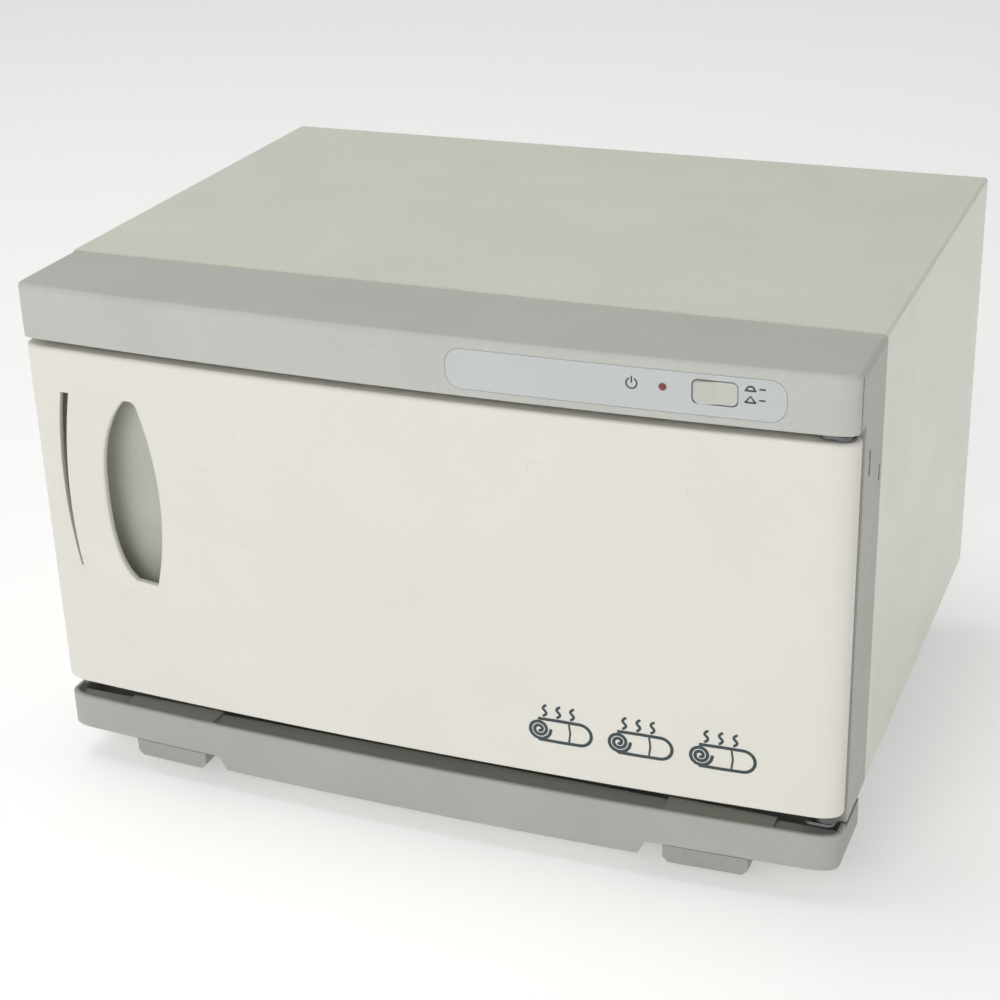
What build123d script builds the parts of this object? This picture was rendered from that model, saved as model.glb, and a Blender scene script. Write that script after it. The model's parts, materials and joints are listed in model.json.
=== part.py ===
from build123d import *
import math
import os

# Hot towel cabinet: a sheet-metal casing around a heated aluminium chamber, with a plastic front frame,
# a control fascia, a right-hinged door with a pull handle, and a drip tray that slides out at the front.
# Units are millimetres. +X is the cabinet's right, -Y its front, +Z up.
# The origin is the centre of the footprint, on the surface the feet stand on.

# ---------------------------------------------------------------- driving dimensions
WIDTH = 450.0
DEPTH = 340.0
HEIGHT = 290.0

HALF = WIDTH / 2
FRONT_Y = -DEPTH / 2
REAR_Y = DEPTH / 2
CROWN = 7.0                      # how far the front's middle stands ahead of its ends
CROWN_RADIUS = (HALF**2 + CROWN**2) / (2 * CROWN)

CASING_Z = 42.0                  # lower edge of the casing
SEAM_Y = -105.0                  # casing meets front frame
SHEET = 1.0                      # casing sheet
PANEL_SHEET = 1.2                # rear panel and base sheet
SHADOW = 0.3                     # assembly gap between neighbouring pieces

FASCIA_Z = 259.6                 # underside of the control fascia
FASCIA_TOP = 289.2
FASCIA_BACK = -157.0             # rear edge of the fascia's side skirts
FASCIA_WALL = 2.5

DOOR_Z = 52.0
DOOR_TOP = 255.5
DOOR_BACK = -148.0
DOOR_WALL = 3.0

FRAME_FACE = -146.0              # front face of the frame, behind the door
FRAME_WALL = 3.0
FRAME_TOP = 286.5
WING_Y = -154.5                  # front edge of the frame's side wings, behind the fascia
BOSS_RADIUS = 5.0
SCREW_HOLE = 1.95

OPEN_X = 189.0                   # half width of the chamber's mouth
OPEN_Z = (76.0, 239.0)
CHAMBER_SHEET = 1.0
CHAMBER_FRONT = -128.0
CHAMBER_REAR = 99.0
BLANKET = 15.0                   # insulation thickness

TUB_X = 212.0
TUB_Z = 17.6
TUB_FRONT = -106.0
PANEL_Y = 157.0                  # inner face of the rear panel

TRAY_BACK = -118.0
TRAY_WALL = 2.5
TRAY_END_Z = 21.8                # underside of the tray's shallow ends
TRAY_MID_Z = 13.8                # underside of its deeper middle
TRAY_MID_X = 121.0

FOOT_X = (134.5, 179.5)
HINGE = (217.0, -155.0)          # plan position of the door's hinge axis
PIN_RADIUS = 2.5
RUNNING = 0.05                   # radial clearance of a running fit

LABEL_X = (24.5, 192.0)
LABEL_Z = (263.5, 284.0)
LABEL_THICK = 0.5
ROCKER_X = 158.3
ROCKER_Z = 275.1
LAMP_X = 133.4
LAMP_Z = 275.7
ROCK_ANGLE = 7.0                 # either side of the rocker's middle position

BOTTOM = (Align.CENTER, Align.CENTER, Align.MIN)
TOP = (Align.CENTER, Align.CENTER, Align.MAX)


# ---------------------------------------------------------------- shared shapes
def crown_y(x):
    """Depth of the crowned front surface at x."""
    return FRONT_Y + CROWN_RADIUS - math.sqrt(CROWN_RADIUS**2 - x**2)


def block(x, y, z, mode=Mode.ADD):
    """A box between pairs of limits."""
    centre = ((x[0] + x[1]) / 2, (y[0] + y[1]) / 2, (z[0] + z[1]) / 2)
    with Locations(centre):
        Box(x[1] - x[0], y[1] - y[0], z[1] - z[0], mode=mode)


def both_sides(x):
    """The same pair of limits on the right and on the left."""
    return [x, (-x[1], -x[0])]


def standing(y, spots, turn):
    """Places at the (x, z) spots of the plane y, facing the front (turn 90) or the back (turn -90)."""
    return [Location((x, y, z), (turn, 0, 0)) for x, z in spots]


def front_plan(z, back, side=HALF, start=210.0, corner_end=-155.0, inset=0.0):
    """Plan outline with the crowned front, soft front corners and a straight back, at height z."""
    turn = side - start
    face = crown_y(start) + inset
    with BuildSketch(Plane.XY.offset(z)) as plan:
        with BuildLine():
            ThreePointArc((-start, face), (0, FRONT_Y + inset), (start, face))
            for hand in (1, -1):
                Bezier(
                    (hand * start, face),
                    (hand * (start + 0.5 * turn), face + 0.5 * turn * start / CROWN_RADIUS),
                    (hand * side, face + 0.35 * (corner_end - face)),
                    (hand * side, corner_end),
                )
                Line((hand * side, corner_end), (hand * side, back))
            Line((side, back), (-side, back))
        make_face()
    return plan.sketch


def crown_band(x, z, depth, thick, mode=Mode.ADD):
    """A strip that follows the crowned front, from depth behind the surface to thick further in."""
    mid = sum(x) / 2
    with BuildSketch(Plane.XY.offset(z[0])) as plan:
        with BuildLine():
            ThreePointArc(*[(at, crown_y(at) + depth) for at in (x[0], mid, x[1])])
            ThreePointArc(*[(at, crown_y(at) + depth + thick) for at in (x[0], mid, x[1])])
            for at in x:
                Line((at, crown_y(at) + depth), (at, crown_y(at) + depth + thick))
        make_face()
    return extrude(plan.sketch, amount=z[1] - z[0], mode=mode)


def front_pill(x, z, radius, y):
    """A rounded rectangle standing in the plane y, drawn towards the back."""
    middle = Plane(origin=((x[0] + x[1]) / 2, y, (z[0] + z[1]) / 2), x_dir=(1, 0, 0), z_dir=(0, 1, 0))
    with BuildSketch(middle) as pill:
        RectangleRounded(x[1] - x[0], z[1] - z[0], radius)
    return pill.sketch


def screw(head_radius, head_height, shank_radius, shank_length):
    """A pan-head screw with a cross recess, head up, seated at the origin."""
    with BuildPart() as one:
        Cylinder(head_radius, head_height, align=BOTTOM)
        fillet(one.edges().sort_by(Axis.Z)[-1], head_height * 0.4)
        with Locations((0, 0, head_height)):
            Box(head_radius * 1.2, 0.9, head_height, mode=Mode.SUBTRACT)
            Box(0.9, head_radius * 1.2, head_height, mode=Mode.SUBTRACT)
        Cylinder(shank_radius, shank_length, align=TOP)
    return one.part


def surface_plane(x, z):
    """A level plane on the crowned front at x: local X runs along the surface, local Y points inwards."""
    slope = math.asin(x / CROWN_RADIUS)
    along = (math.cos(slope), math.sin(slope), 0)
    return Plane(origin=(x, crown_y(x), z), x_dir=along, z_dir=(0, 0, 1))


# ---------------------------------------------------------------- outer casing
LIP = 12.0
RETURN_Y = PANEL_Y - PANEL_SHEET
CASING_EDGE = 2.0                # rounding of its two long upper edges
CASING_SCREWS = [(x, y) for x in (-218.5, 218.5) for y in (-70.0, 25.0, 120.0)]
REAR_SCREWS = [(x, z) for x in (-217.5, 217.5) for z in (110.0, 230.0)]

with BuildPart() as outer_casing:
    block((-HALF, HALF), (SEAM_Y, REAR_Y), (CASING_Z, HEIGHT))
    long_edges = outer_casing.edges().filter_by(Axis.Y).sort_by(Axis.Z)[-2:]
    fillet(long_edges, CASING_EDGE)
    inner = HALF - SHEET
    block((-inner, inner), (SEAM_Y, REAR_Y), (CASING_Z + SHEET, HEIGHT - SHEET), Mode.SUBTRACT)
    block((LIP - HALF, HALF - LIP), (SEAM_Y, REAR_Y), (CASING_Z, CASING_Z + SHEET), Mode.SUBTRACT)
    for side in both_sides((HALF - LIP, inner)):
        block(side, (RETURN_Y, PANEL_Y), (CASING_Z + SHEET, HEIGHT - SHEET))
    block((-inner, inner), (RETURN_Y, PANEL_Y), (HEIGHT - LIP, HEIGHT - SHEET))
    with Locations(*[(x, y, CASING_Z) for x, y in CASING_SCREWS]):
        Cylinder(SCREW_HOLE, 4 * SHEET, mode=Mode.SUBTRACT)
    with Locations(*standing(PANEL_Y, REAR_SCREWS, 90)):
        Cylinder(SCREW_HOLE, 6 * SHEET, mode=Mode.SUBTRACT)
outer_casing.part.label = "outer_casing"
export_step(outer_casing.part, "parts/outer_casing.step")

# ---------------------------------------------------------------- rear panel with vents and cord hole
GLAND = (-150.0, 78.0)           # x and z of the cord gland
GLAND_HOLE = 9.5
VENT_Z = 215.0
VENT_LENGTH = 34.0
VENT_WIDTH = 3.6
VENT_PITCH = 15.0
VENT_COUNT = 9
PANEL_FEET = [(-120.0, 52.0), (120.0, 52.0)]

with BuildPart() as rear_panel:
    edge = HALF - SHEET - SHADOW
    block(
        (-edge, edge),
        (PANEL_Y, PANEL_Y + PANEL_SHEET),
        (CASING_Z + SHEET + SHADOW, HEIGHT - SHEET - SHADOW),
    )
    with BuildSketch(Plane.XZ.offset(-PANEL_Y)):
        with Locations((0, VENT_Z)):
            with GridLocations(VENT_PITCH, VENT_PITCH, VENT_COUNT, 1):
                SlotOverall(VENT_LENGTH, VENT_WIDTH, rotation=90)
        with Locations(GLAND):
            Circle(GLAND_HOLE)
        with Locations(*REAR_SCREWS, *PANEL_FEET):
            Circle(SCREW_HOLE)
    extrude(amount=-PANEL_SHEET, mode=Mode.SUBTRACT)
rear_panel.part.label = "rear_panel"
export_step(rear_panel.part, "parts/rear_panel.step")

# ---------------------------------------------------------------- base tub
TUB_FLOOR = TUB_Z + PANEL_SHEET
FLANGE_Z = CASING_Z + SHEET
TUB_WALL_TOP = 58.0
TONGUE_X = (FOOT_X[0] + 2, FOOT_X[1] - 2)
TONGUE_FRONT = -150.0
FRONT_FOOT_SCREW_Y = -97.0
REAR_FOOT_SCREW_Y = 130.0
FOOT_SCREW_X = (147.0, 171.0)
FOOT_SCREWS = [
    (hand * x, y) for hand in (-1, 1) for x in FOOT_SCREW_X for y in (FRONT_FOOT_SCREW_Y, REAR_FOOT_SCREW_Y)
]
TUB_WALL_X = 200.0
FLANGE_GAP = 0.5                 # between the tub's flanges and the front frame
FRAME_BOSSES = [(-100.0, 52.0), (100.0, 52.0)]

with BuildPart() as base_tub:
    block((-TUB_X, TUB_X), (TUB_FRONT, RETURN_Y), (TUB_Z, FLANGE_Z + PANEL_SHEET))
    hollow = TUB_X - PANEL_SHEET
    block(
        (-hollow, hollow),
        (TUB_FRONT + PANEL_SHEET, RETURN_Y - PANEL_SHEET),
        (TUB_FLOOR, FLANGE_Z + PANEL_SHEET),
        Mode.SUBTRACT,
    )
    for side in both_sides((hollow, HALF - SHEET - SHADOW)):
        block(side, (SEAM_Y + FLANGE_GAP, RETURN_Y), (FLANGE_Z, FLANGE_Z + PANEL_SHEET))
    for wall in ((TUB_FRONT, TUB_FRONT + PANEL_SHEET), (RETURN_Y - PANEL_SHEET, RETURN_Y)):
        block((-TUB_WALL_X, TUB_WALL_X), wall, (TUB_FLOOR, TUB_WALL_TOP))
    for side in both_sides(TONGUE_X):
        block(side, (TONGUE_FRONT, TUB_FRONT + PANEL_SHEET), (TUB_Z, TUB_FLOOR))
    with Locations(*[(x, y, FLANGE_Z) for x, y in CASING_SCREWS]):
        Cylinder(SCREW_HOLE, 4 * PANEL_SHEET, mode=Mode.SUBTRACT)
    with Locations(*[(x, y, TUB_Z) for x, y in FOOT_SCREWS]):
        Cylinder(SCREW_HOLE, 4 * PANEL_SHEET, mode=Mode.SUBTRACT)
    with Locations(*standing(RETURN_Y, PANEL_FEET, 90), *standing(TUB_FRONT, FRAME_BOSSES, 90)):
        Cylinder(SCREW_HOLE, 4 * PANEL_SHEET, mode=Mode.SUBTRACT)
base_tub.part.label = "base_tub"
export_step(base_tub.part, "parts/base_tub.step")

# ---------------------------------------------------------------- front frame
REVEAL = 3.0
FLANGE_BACK = -95.0
BRACKET_X = (206.0, 221.6)
BRACKET_SHEET = 1.6
UPPER_LEAF_Z = 257.0
LOWER_LEAF_Z = 47.0
WINDOW_X = (118.0, 186.0)        # where the switch's terminals and wires pass the frame
WINDOW_Z = (264.0, 283.0)
FASCIA_BOSSES = [(-203.0, 274.0), (0.0, 274.0), (203.0, 274.0)]
TUCK_WALL = 2.0                  # thickness of the flange under the casing
TUB_GAP = 0.4                    # between the frame and the base tub
MAGNET_X = (-211.0, -201.0)
MAGNET_Z = (150.0, 190.0)
HINGE_SLOTS = (((-136.0, -132.0), (229.0, 242.5)), ((-111.5, -108.5), (216.5, 225.0)))

with BuildPart() as front_frame:
    face_inner = FRAME_FACE + FRAME_WALL
    side_inner = HALF - FRAME_WALL
    block((-HALF, HALF), (FRAME_FACE, SEAM_Y), (CASING_Z, FRAME_TOP))
    block((-HALF, HALF), (WING_Y, FRAME_FACE), (FASCIA_Z, FRAME_TOP))
    across = (-side_inner, side_inner)
    floor = CASING_Z + FRAME_WALL
    ceiling = FRAME_TOP - FRAME_WALL
    block(across, (WING_Y, FRAME_FACE), (FASCIA_Z, ceiling), Mode.SUBTRACT)
    block(across, (face_inner, SEAM_Y), (floor, ceiling), Mode.SUBTRACT)
    block(across, (TUB_FRONT - TUB_GAP, SEAM_Y), (CASING_Z, floor), Mode.SUBTRACT)
    # flange that the casing slides over
    tuck = HALF - SHEET - SHADOW
    for side in both_sides((tuck - TUCK_WALL, tuck)):
        block(side, (SEAM_Y - FRAME_WALL, FLANGE_BACK), (floor + SHEET, FRAME_TOP))
    block((-tuck, tuck), (SEAM_Y, FLANGE_BACK), (FRAME_TOP - TUCK_WALL, FRAME_TOP))
    # reveal around the chamber's mouth
    block(
        (-OPEN_X - REVEAL, OPEN_X + REVEAL),
        (FRAME_FACE, CHAMBER_FRONT),
        (OPEN_Z[0] - REVEAL, OPEN_Z[1] + REVEAL),
    )
    block((-OPEN_X, OPEN_X), (FRAME_FACE, CHAMBER_FRONT), OPEN_Z, Mode.SUBTRACT)
    # screw bosses down to the base tub
    with Locations(*standing(face_inner, FRAME_BOSSES, -90)):
        Cylinder(BOSS_RADIUS, TUB_FRONT - face_inner, align=BOTTOM)
        Cylinder(SCREW_HOLE, TUB_FRONT - face_inner, align=BOTTOM, mode=Mode.SUBTRACT)
    # slots that the hinge brackets pass through
    for leaf in (UPPER_LEAF_Z, LOWER_LEAF_Z):
        block(
            (BRACKET_X[0] - SHADOW, side_inner),
            (FRAME_FACE, face_inner),
            (leaf - SHADOW, leaf + BRACKET_SHEET + SHADOW),
            Mode.SUBTRACT,
        )
    block(WINDOW_X, (FRAME_FACE, face_inner), WINDOW_Z, Mode.SUBTRACT)
    with Locations(*standing(FRAME_FACE, FASCIA_BOSSES, 90)):
        Cylinder(SCREW_HOLE, 4 * FRAME_WALL, mode=Mode.SUBTRACT)
    # recess for the catch magnet and slots for the hinge bracket's hooks
    block(MAGNET_X, (FRAME_FACE, face_inner), MAGNET_Z, Mode.SUBTRACT)
    for slot_y, slot_z in HINGE_SLOTS:
        block((side_inner, HALF), slot_y, slot_z, Mode.SUBTRACT)
front_frame.part.label = "front_frame"
export_step(front_frame.part, "parts/front_frame.step")

# ---------------------------------------------------------------- heated chamber and its insulation
CHAMBER_X = OPEN_X + CHAMBER_SHEET
CHAMBER_Z = (OPEN_Z[0] - CHAMBER_SHEET, OPEN_Z[1] + CHAMBER_SHEET)
CHAMBER_BACK = CHAMBER_REAR + CHAMBER_SHEET
CHAMBER_RIM = 12.0
CHAMBER_CORNER = 6.0
THERMOSTAT = (70.0, 160.0)
FUSE = (-70.0, 160.0)
HEATER_X = 150.0
HEATER_Y = (-95.0, 65.0)
HEATER_PLATE = 1.5
HEATER_ROOM = 8.0                # free space round the heater plate in the insulation
HEATER_DEPTH = 10.0
SENSOR_HOLE = 19.0               # radius of the insulation's holes for the thermostat and the fuse
WIRE_SLOT_X = (-152.0, -134.0)

with BuildPart() as inner_chamber:
    block((-CHAMBER_X, CHAMBER_X), (CHAMBER_FRONT, CHAMBER_BACK), CHAMBER_Z)
    upright = inner_chamber.edges().filter_by(Axis.Y)
    fillet(upright, CHAMBER_CORNER)
    rim_x = CHAMBER_X + CHAMBER_RIM
    block(
        (-rim_x, rim_x),
        (CHAMBER_FRONT, CHAMBER_FRONT + CHAMBER_SHEET),
        (CHAMBER_Z[0] - CHAMBER_RIM, CHAMBER_Z[1] + CHAMBER_RIM),
    )
    with BuildSketch(Plane.XZ.offset(-CHAMBER_FRONT)):
        with Locations((0, sum(OPEN_Z) / 2)):
            RectangleRounded(2 * OPEN_X, OPEN_Z[1] - OPEN_Z[0], CHAMBER_CORNER - CHAMBER_SHEET)
    extrude(amount=-(CHAMBER_REAR - CHAMBER_FRONT), mode=Mode.SUBTRACT)
inner_chamber.part.label = "inner_chamber"
export_step(inner_chamber.part, "parts/inner_chamber.step")

with BuildPart() as insulation_blanket:
    outer_x = CHAMBER_X + SHADOW + BLANKET
    gap_x = CHAMBER_X + SHADOW
    front = CHAMBER_FRONT + CHAMBER_SHEET + SHADOW
    back = CHAMBER_BACK + SHADOW + BLANKET
    low, high = CHAMBER_Z[0] - SHADOW, CHAMBER_Z[1] + SHADOW
    block((-outer_x, outer_x), (front, back), (low - BLANKET, high + BLANKET))
    block((-gap_x, gap_x), (front, CHAMBER_BACK + SHADOW), (low, high), Mode.SUBTRACT)
    block(
        (-HEATER_X - HEATER_ROOM, HEATER_X + HEATER_ROOM),
        (HEATER_Y[0] - HEATER_ROOM, HEATER_Y[1] + HEATER_ROOM),
        (CHAMBER_Z[0] - HEATER_DEPTH, CHAMBER_Z[0]),
        Mode.SUBTRACT,
    )
    with Locations(*standing(CHAMBER_BACK, (THERMOSTAT, FUSE), -90)):
        Cylinder(SENSOR_HOLE, 2 * BLANKET, align=BOTTOM, mode=Mode.SUBTRACT)
    block(WIRE_SLOT_X, (HEATER_Y[1], back), (CHAMBER_Z[0] - HEATER_DEPTH, CHAMBER_Z[0]), Mode.SUBTRACT)
insulation_blanket.part.label = "insulation_blanket"
export_step(insulation_blanket.part, "parts/insulation_blanket.step")

# ---------------------------------------------------------------- heater under the chamber floor
ELEMENT_RADIUS = 2.2
ELEMENT_Z = CHAMBER_Z[0] - HEATER_PLATE - ELEMENT_RADIUS - RUNNING
ELEMENT_PITCH = 28.0
ELEMENT_PASSES = 6
ELEMENT_X = 128.0
ELEMENT_MARGIN = 10.0            # from the plate's front edge to the first pass
PLATE_CORNER = 8.0
CLIP_X = (-75.0, 75.0)
CLIP_HALF = 5.0
CLIP_SHEET = 0.8
CLIP_MARGIN = 3.0                # from the plate's edge to the clip, and the length of the clip's foot

with BuildPart() as heater_plate:
    block((-HEATER_X, HEATER_X), HEATER_Y, (CHAMBER_Z[0] - HEATER_PLATE, CHAMBER_Z[0]))
    plate_corners = heater_plate.edges().filter_by(Axis.Z)
    fillet(plate_corners, PLATE_CORNER)
heater_plate.part.label = "heater_plate"
export_step(heater_plate.part, "parts/heater_plate.step")

element_rows = [HEATER_Y[0] + ELEMENT_MARGIN + ELEMENT_PITCH * row for row in range(ELEMENT_PASSES)]
with BuildPart() as heating_element:
    with BuildLine() as serpentine:
        for row, y in enumerate(element_rows):
            Line((-ELEMENT_X, y, ELEMENT_Z), (ELEMENT_X, y, ELEMENT_Z))
            if row + 1 < ELEMENT_PASSES:
                end = ELEMENT_X if row % 2 == 0 else -ELEMENT_X
                bulge = end + math.copysign(ELEMENT_PITCH / 2, end)
                ThreePointArc(
                    (end, y, ELEMENT_Z),
                    (bulge, y + ELEMENT_PITCH / 2, ELEMENT_Z),
                    (end, y + ELEMENT_PITCH, ELEMENT_Z),
                )
    start = Plane(origin=(-ELEMENT_X, element_rows[0], ELEMENT_Z), x_dir=(0, 1, 0), z_dir=(1, 0, 0))
    with BuildSketch(start):
        Circle(ELEMENT_RADIUS)
    sweep(path=serpentine.wires()[0])
heating_element.part.label = "heating_element"
export_step(heating_element.part, "parts/heating_element.step")

with BuildPart() as element_clips:
    clip_top = CHAMBER_Z[0] - HEATER_PLATE
    clip_low = ELEMENT_Z - ELEMENT_RADIUS - RUNNING - CLIP_SHEET
    bridge = (HEATER_Y[0] + CLIP_MARGIN, HEATER_Y[1] - CLIP_MARGIN)
    tunnel = (bridge[0] + CLIP_MARGIN, bridge[1] - CLIP_MARGIN)
    for x in CLIP_X:
        block((x - CLIP_HALF, x + CLIP_HALF), bridge, (clip_low, clip_top))
        block((x - CLIP_HALF, x + CLIP_HALF), tunnel, (clip_low + CLIP_SHEET, clip_top), Mode.SUBTRACT)
element_clips.part.label = "element_clips"
export_step(element_clips.part, "parts/element_clips.step")

# ---------------------------------------------------------------- thermostat, thermal fuse, terminal block
with BuildPart() as thermostat:
    with Locations(Location((THERMOSTAT[0], CHAMBER_BACK, THERMOSTAT[1]), (-90, 0, 0))):
        Cylinder(8.0, 11.0, align=BOTTOM)
    block(
        (THERMOSTAT[0] - 16, THERMOSTAT[0] + 16),
        (CHAMBER_BACK, CHAMBER_BACK + 0.8),
        (THERMOSTAT[1] - 4, THERMOSTAT[1] + 4),
    )
    for dx in (-4.0, 4.0):
        block(
            (THERMOSTAT[0] + dx - 0.4, THERMOSTAT[0] + dx + 0.4),
            (CHAMBER_BACK + 10.0, CHAMBER_BACK + 18.0),
            (THERMOSTAT[1] - 3.1, THERMOSTAT[1] + 3.1),
        )
thermostat.part.label = "thermostat"
export_step(thermostat.part, "parts/thermostat.step")

with BuildPart() as thermal_fuse:
    with Locations(Location((FUSE[0], CHAMBER_BACK + 4.0, FUSE[1]), (0, 90, 0))):
        Cylinder(3.5, 20.0)
        Cylinder(1.0, 32.0)
    block((FUSE[0] - 3, FUSE[0] + 3), (CHAMBER_BACK, CHAMBER_BACK + 2.0), (FUSE[1] - 12, FUSE[1] + 12))
thermal_fuse.part.label = "thermal_fuse"
export_step(thermal_fuse.part, "parts/thermal_fuse.step")

TERMINAL_X = (-100.0, -58.0)
TERMINAL_Y = (126.0, 144.0)
TERMINAL_TOP = TUB_FLOOR + 16.0
WAY_X = (-93.0, -79.0, -65.0)    # the three ways, and the two rows of clamp screws
NEAR_ROW = 130.5
FAR_ROW = 139.5

with BuildPart() as terminal_block:
    block(TERMINAL_X, TERMINAL_Y, (TUB_FLOOR, TERMINAL_TOP))
    with Locations(*[(x, y, TERMINAL_TOP) for x in WAY_X for y in (NEAR_ROW, FAR_ROW)]):
        CounterBoreHole(1.2, 2.6, 3.0, depth=8.0)
terminal_block.part.label = "terminal_block"
export_step(terminal_block.part, "parts/terminal_block.step")

# ---------------------------------------------------------------- cord gland in the rear panel
GLAND_BORE = 3.6
GLAND_OUT = 168.0
GLAND_IN = 147.0
gland_axis = Location((GLAND[0], GLAND_IN, GLAND[1]), (-90, 0, 0))
with BuildPart() as cord_gland:
    with Locations(gland_axis):
        Cylinder(GLAND_HOLE - 0.1, GLAND_OUT - GLAND_IN - 5.0, align=BOTTOM)
    with Locations(Location((GLAND[0], PANEL_Y + PANEL_SHEET, GLAND[1]), (-90, 0, 0))):
        Cylinder(12.5, 3.5, align=BOTTOM)
    with Locations(Location((GLAND[0], PANEL_Y + PANEL_SHEET + 3.5, GLAND[1]), (-90, 0, 0))):
        Cone(9.0, 6.5, GLAND_OUT - PANEL_Y - PANEL_SHEET - 3.5, align=BOTTOM)
    with Locations(gland_axis):
        Cylinder(GLAND_BORE, GLAND_OUT - GLAND_IN, align=BOTTOM, mode=Mode.SUBTRACT)
cord_gland.part.label = "cord_gland"
export_step(cord_gland.part, "parts/cord_gland.step")

with BuildPart() as gland_nut:
    with BuildSketch(Plane.XZ.offset(-(PANEL_Y - 6.0))):
        with Locations(GLAND):
            RegularPolygon(13.5, 6)
            Circle(GLAND_HOLE, mode=Mode.SUBTRACT)
    extrude(amount=-6.0)
gland_nut.part.label = "gland_nut"
export_step(gland_nut.part, "parts/gland_nut.step")

# ---------------------------------------------------------------- towel rack and its side rails
RACK_WIRE = 2.0
CROSS_WIRE = 1.3
RACK_X = 178.0
RACK_Y = (-122.0, 88.0)
RAIL_Z = 84.0
RAIL_SHEET = 1.2
RACK_Z = RAIL_Z + RAIL_SHEET + RACK_WIRE + RUNNING
CROSS_COUNT = 18
CROSS_MARGIN = 22.0              # from the rack's ends to the first and last cross wires
RACK_CORNER = 14.0
RAIL_WIDTH = 16.0
RAIL_WALL_Z = (RAIL_Z - 2.0, RAIL_Z + 12.0)

with BuildPart() as rack_rails:
    for hand in (-1, 1):
        wall = sorted((hand * OPEN_X, hand * (OPEN_X - RAIL_SHEET)))
        shelf = sorted((hand * OPEN_X, hand * (OPEN_X - RAIL_WIDTH)))
        block(wall, RACK_Y, RAIL_WALL_Z)
        block(shelf, RACK_Y, (RAIL_Z, RAIL_Z + RAIL_SHEET))
rack_rails.part.label = "rack_rails"
export_step(rack_rails.part, "parts/rack_rails.step")

with BuildPart() as towel_rack:
    with BuildLine(Plane.XY.offset(RACK_Z)) as rim:
        corners = [(-RACK_X, RACK_Y[0]), (RACK_X, RACK_Y[0]), (RACK_X, RACK_Y[1]), (-RACK_X, RACK_Y[1])]
        FilletPolyline(*corners, radius=RACK_CORNER, close=True)
    start = rim.wires()[0]
    with BuildSketch(Plane(origin=start @ 0, z_dir=start % 0)):
        Circle(RACK_WIRE)
    sweep(path=start)
    span = 2 * (RACK_X - CROSS_MARGIN)
    cross_x = [-span / 2 + span * step / (CROSS_COUNT - 1) for step in range(CROSS_COUNT)]
    with Locations(*standing(RACK_Y[0], [(x, RACK_Z) for x in cross_x], -90)):
        Cylinder(CROSS_WIRE, RACK_Y[1] - RACK_Y[0], align=BOTTOM)
towel_rack.part.label = "towel_rack"
export_step(towel_rack.part, "parts/towel_rack.step")

# ---------------------------------------------------------------- feet
FRONT_FOOT_Y = (-122.0, -88.0)
REAR_FOOT_Y = (100.0, 156.0)
FOOT_TAPER = 3.5
TOE_Z = 11.5                     # underside of the toe that reaches forward under the tray
TOE_TOP = TRAY_END_Z - SHADOW
TOE_TAPER = 3.0
FOOT_HEAD = (4.5, 8.0)           # radius and depth of the screw head's recess


def foot(x, y, screw_y):
    """One moulded foot: a block with tapered edges, screwed up into the base."""
    with BuildPart() as one:
        block(x, y, (0.0, TUB_Z))
        chamfer(one.faces().sort_by(Axis.Z)[0].edges(), FOOT_TAPER)
        screw_x = sorted(math.copysign(at, x[0]) for at in FOOT_SCREW_X)
        with Locations(*[Location((at, screw_y, 0.0), (180, 0, 0)) for at in screw_x]):
            CounterBoreHole(SCREW_HOLE, *FOOT_HEAD, depth=TUB_Z)
    return one.part


def toe(x):
    """The front foot's toe: it ends flush with the tray's front and carries the tray."""
    with BuildPart() as one:
        block(x, (FRONT_Y, FRONT_FOOT_Y[0]), (TOE_Z, TOE_TOP))
        chamfer(one.faces().sort_by(Axis.Z)[0].edges().filter_by(Axis.Y), TOE_TAPER)
        block(x, (TONGUE_FRONT - SHADOW, FRONT_FOOT_Y[0]), (TUB_Z, TOE_TOP), Mode.SUBTRACT)
        extrude(front_plan(0.0, FRONT_FOOT_Y[0]), amount=HEIGHT, mode=Mode.INTERSECT)
    return one.part


with BuildPart() as front_feet:
    for side in both_sides(FOOT_X):
        add(foot(side, FRONT_FOOT_Y, FRONT_FOOT_SCREW_Y))
        add(toe(side))
front_feet.part.label = "front_feet"
export_step(front_feet.part, "parts/front_feet.step")

with BuildPart() as rear_feet:
    for side in both_sides(FOOT_X):
        add(foot(side, REAR_FOOT_Y, REAR_FOOT_SCREW_Y))
rear_feet.part.label = "rear_feet"
export_step(rear_feet.part, "parts/rear_feet.step")

# ---------------------------------------------------------------- fasteners of the cabinet
SHANK = 1.85
with BuildPart() as foot_screws:
    foot_screw = screw(3.8, 2.4, SHANK, 15.0)
    with Locations(*[Location((x, y, FOOT_HEAD[1]), (180, 0, 0)) for x, y in FOOT_SCREWS]):
        add(foot_screw)
foot_screws.part.label = "foot_screws"
export_step(foot_screws.part, "parts/foot_screws.step")

with BuildPart() as casing_screws:
    casing_screw = screw(3.6, 2.2, SHANK, 8.0)
    with Locations(*[Location((x, y, CASING_Z), (180, 0, 0)) for x, y in CASING_SCREWS]):
        add(casing_screw)
casing_screws.part.label = "casing_screws"
export_step(casing_screws.part, "parts/casing_screws.step")

with BuildPart() as rear_screws:
    rear_screw = screw(3.6, 2.2, SHANK, 8.0)
    with Locations(*standing(PANEL_Y + PANEL_SHEET, REAR_SCREWS + PANEL_FEET, -90)):
        add(rear_screw)
rear_screws.part.label = "rear_screws"
export_step(rear_screws.part, "parts/rear_screws.step")

with BuildPart() as frame_screws:
    frame_screw = screw(3.6, 2.2, SHANK, 16.0)
    with Locations(*standing(TUB_FRONT + PANEL_SHEET, FRAME_BOSSES, -90)):
        add(frame_screw)
frame_screws.part.label = "frame_screws"
export_step(frame_screws.part, "parts/frame_screws.step")

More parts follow.
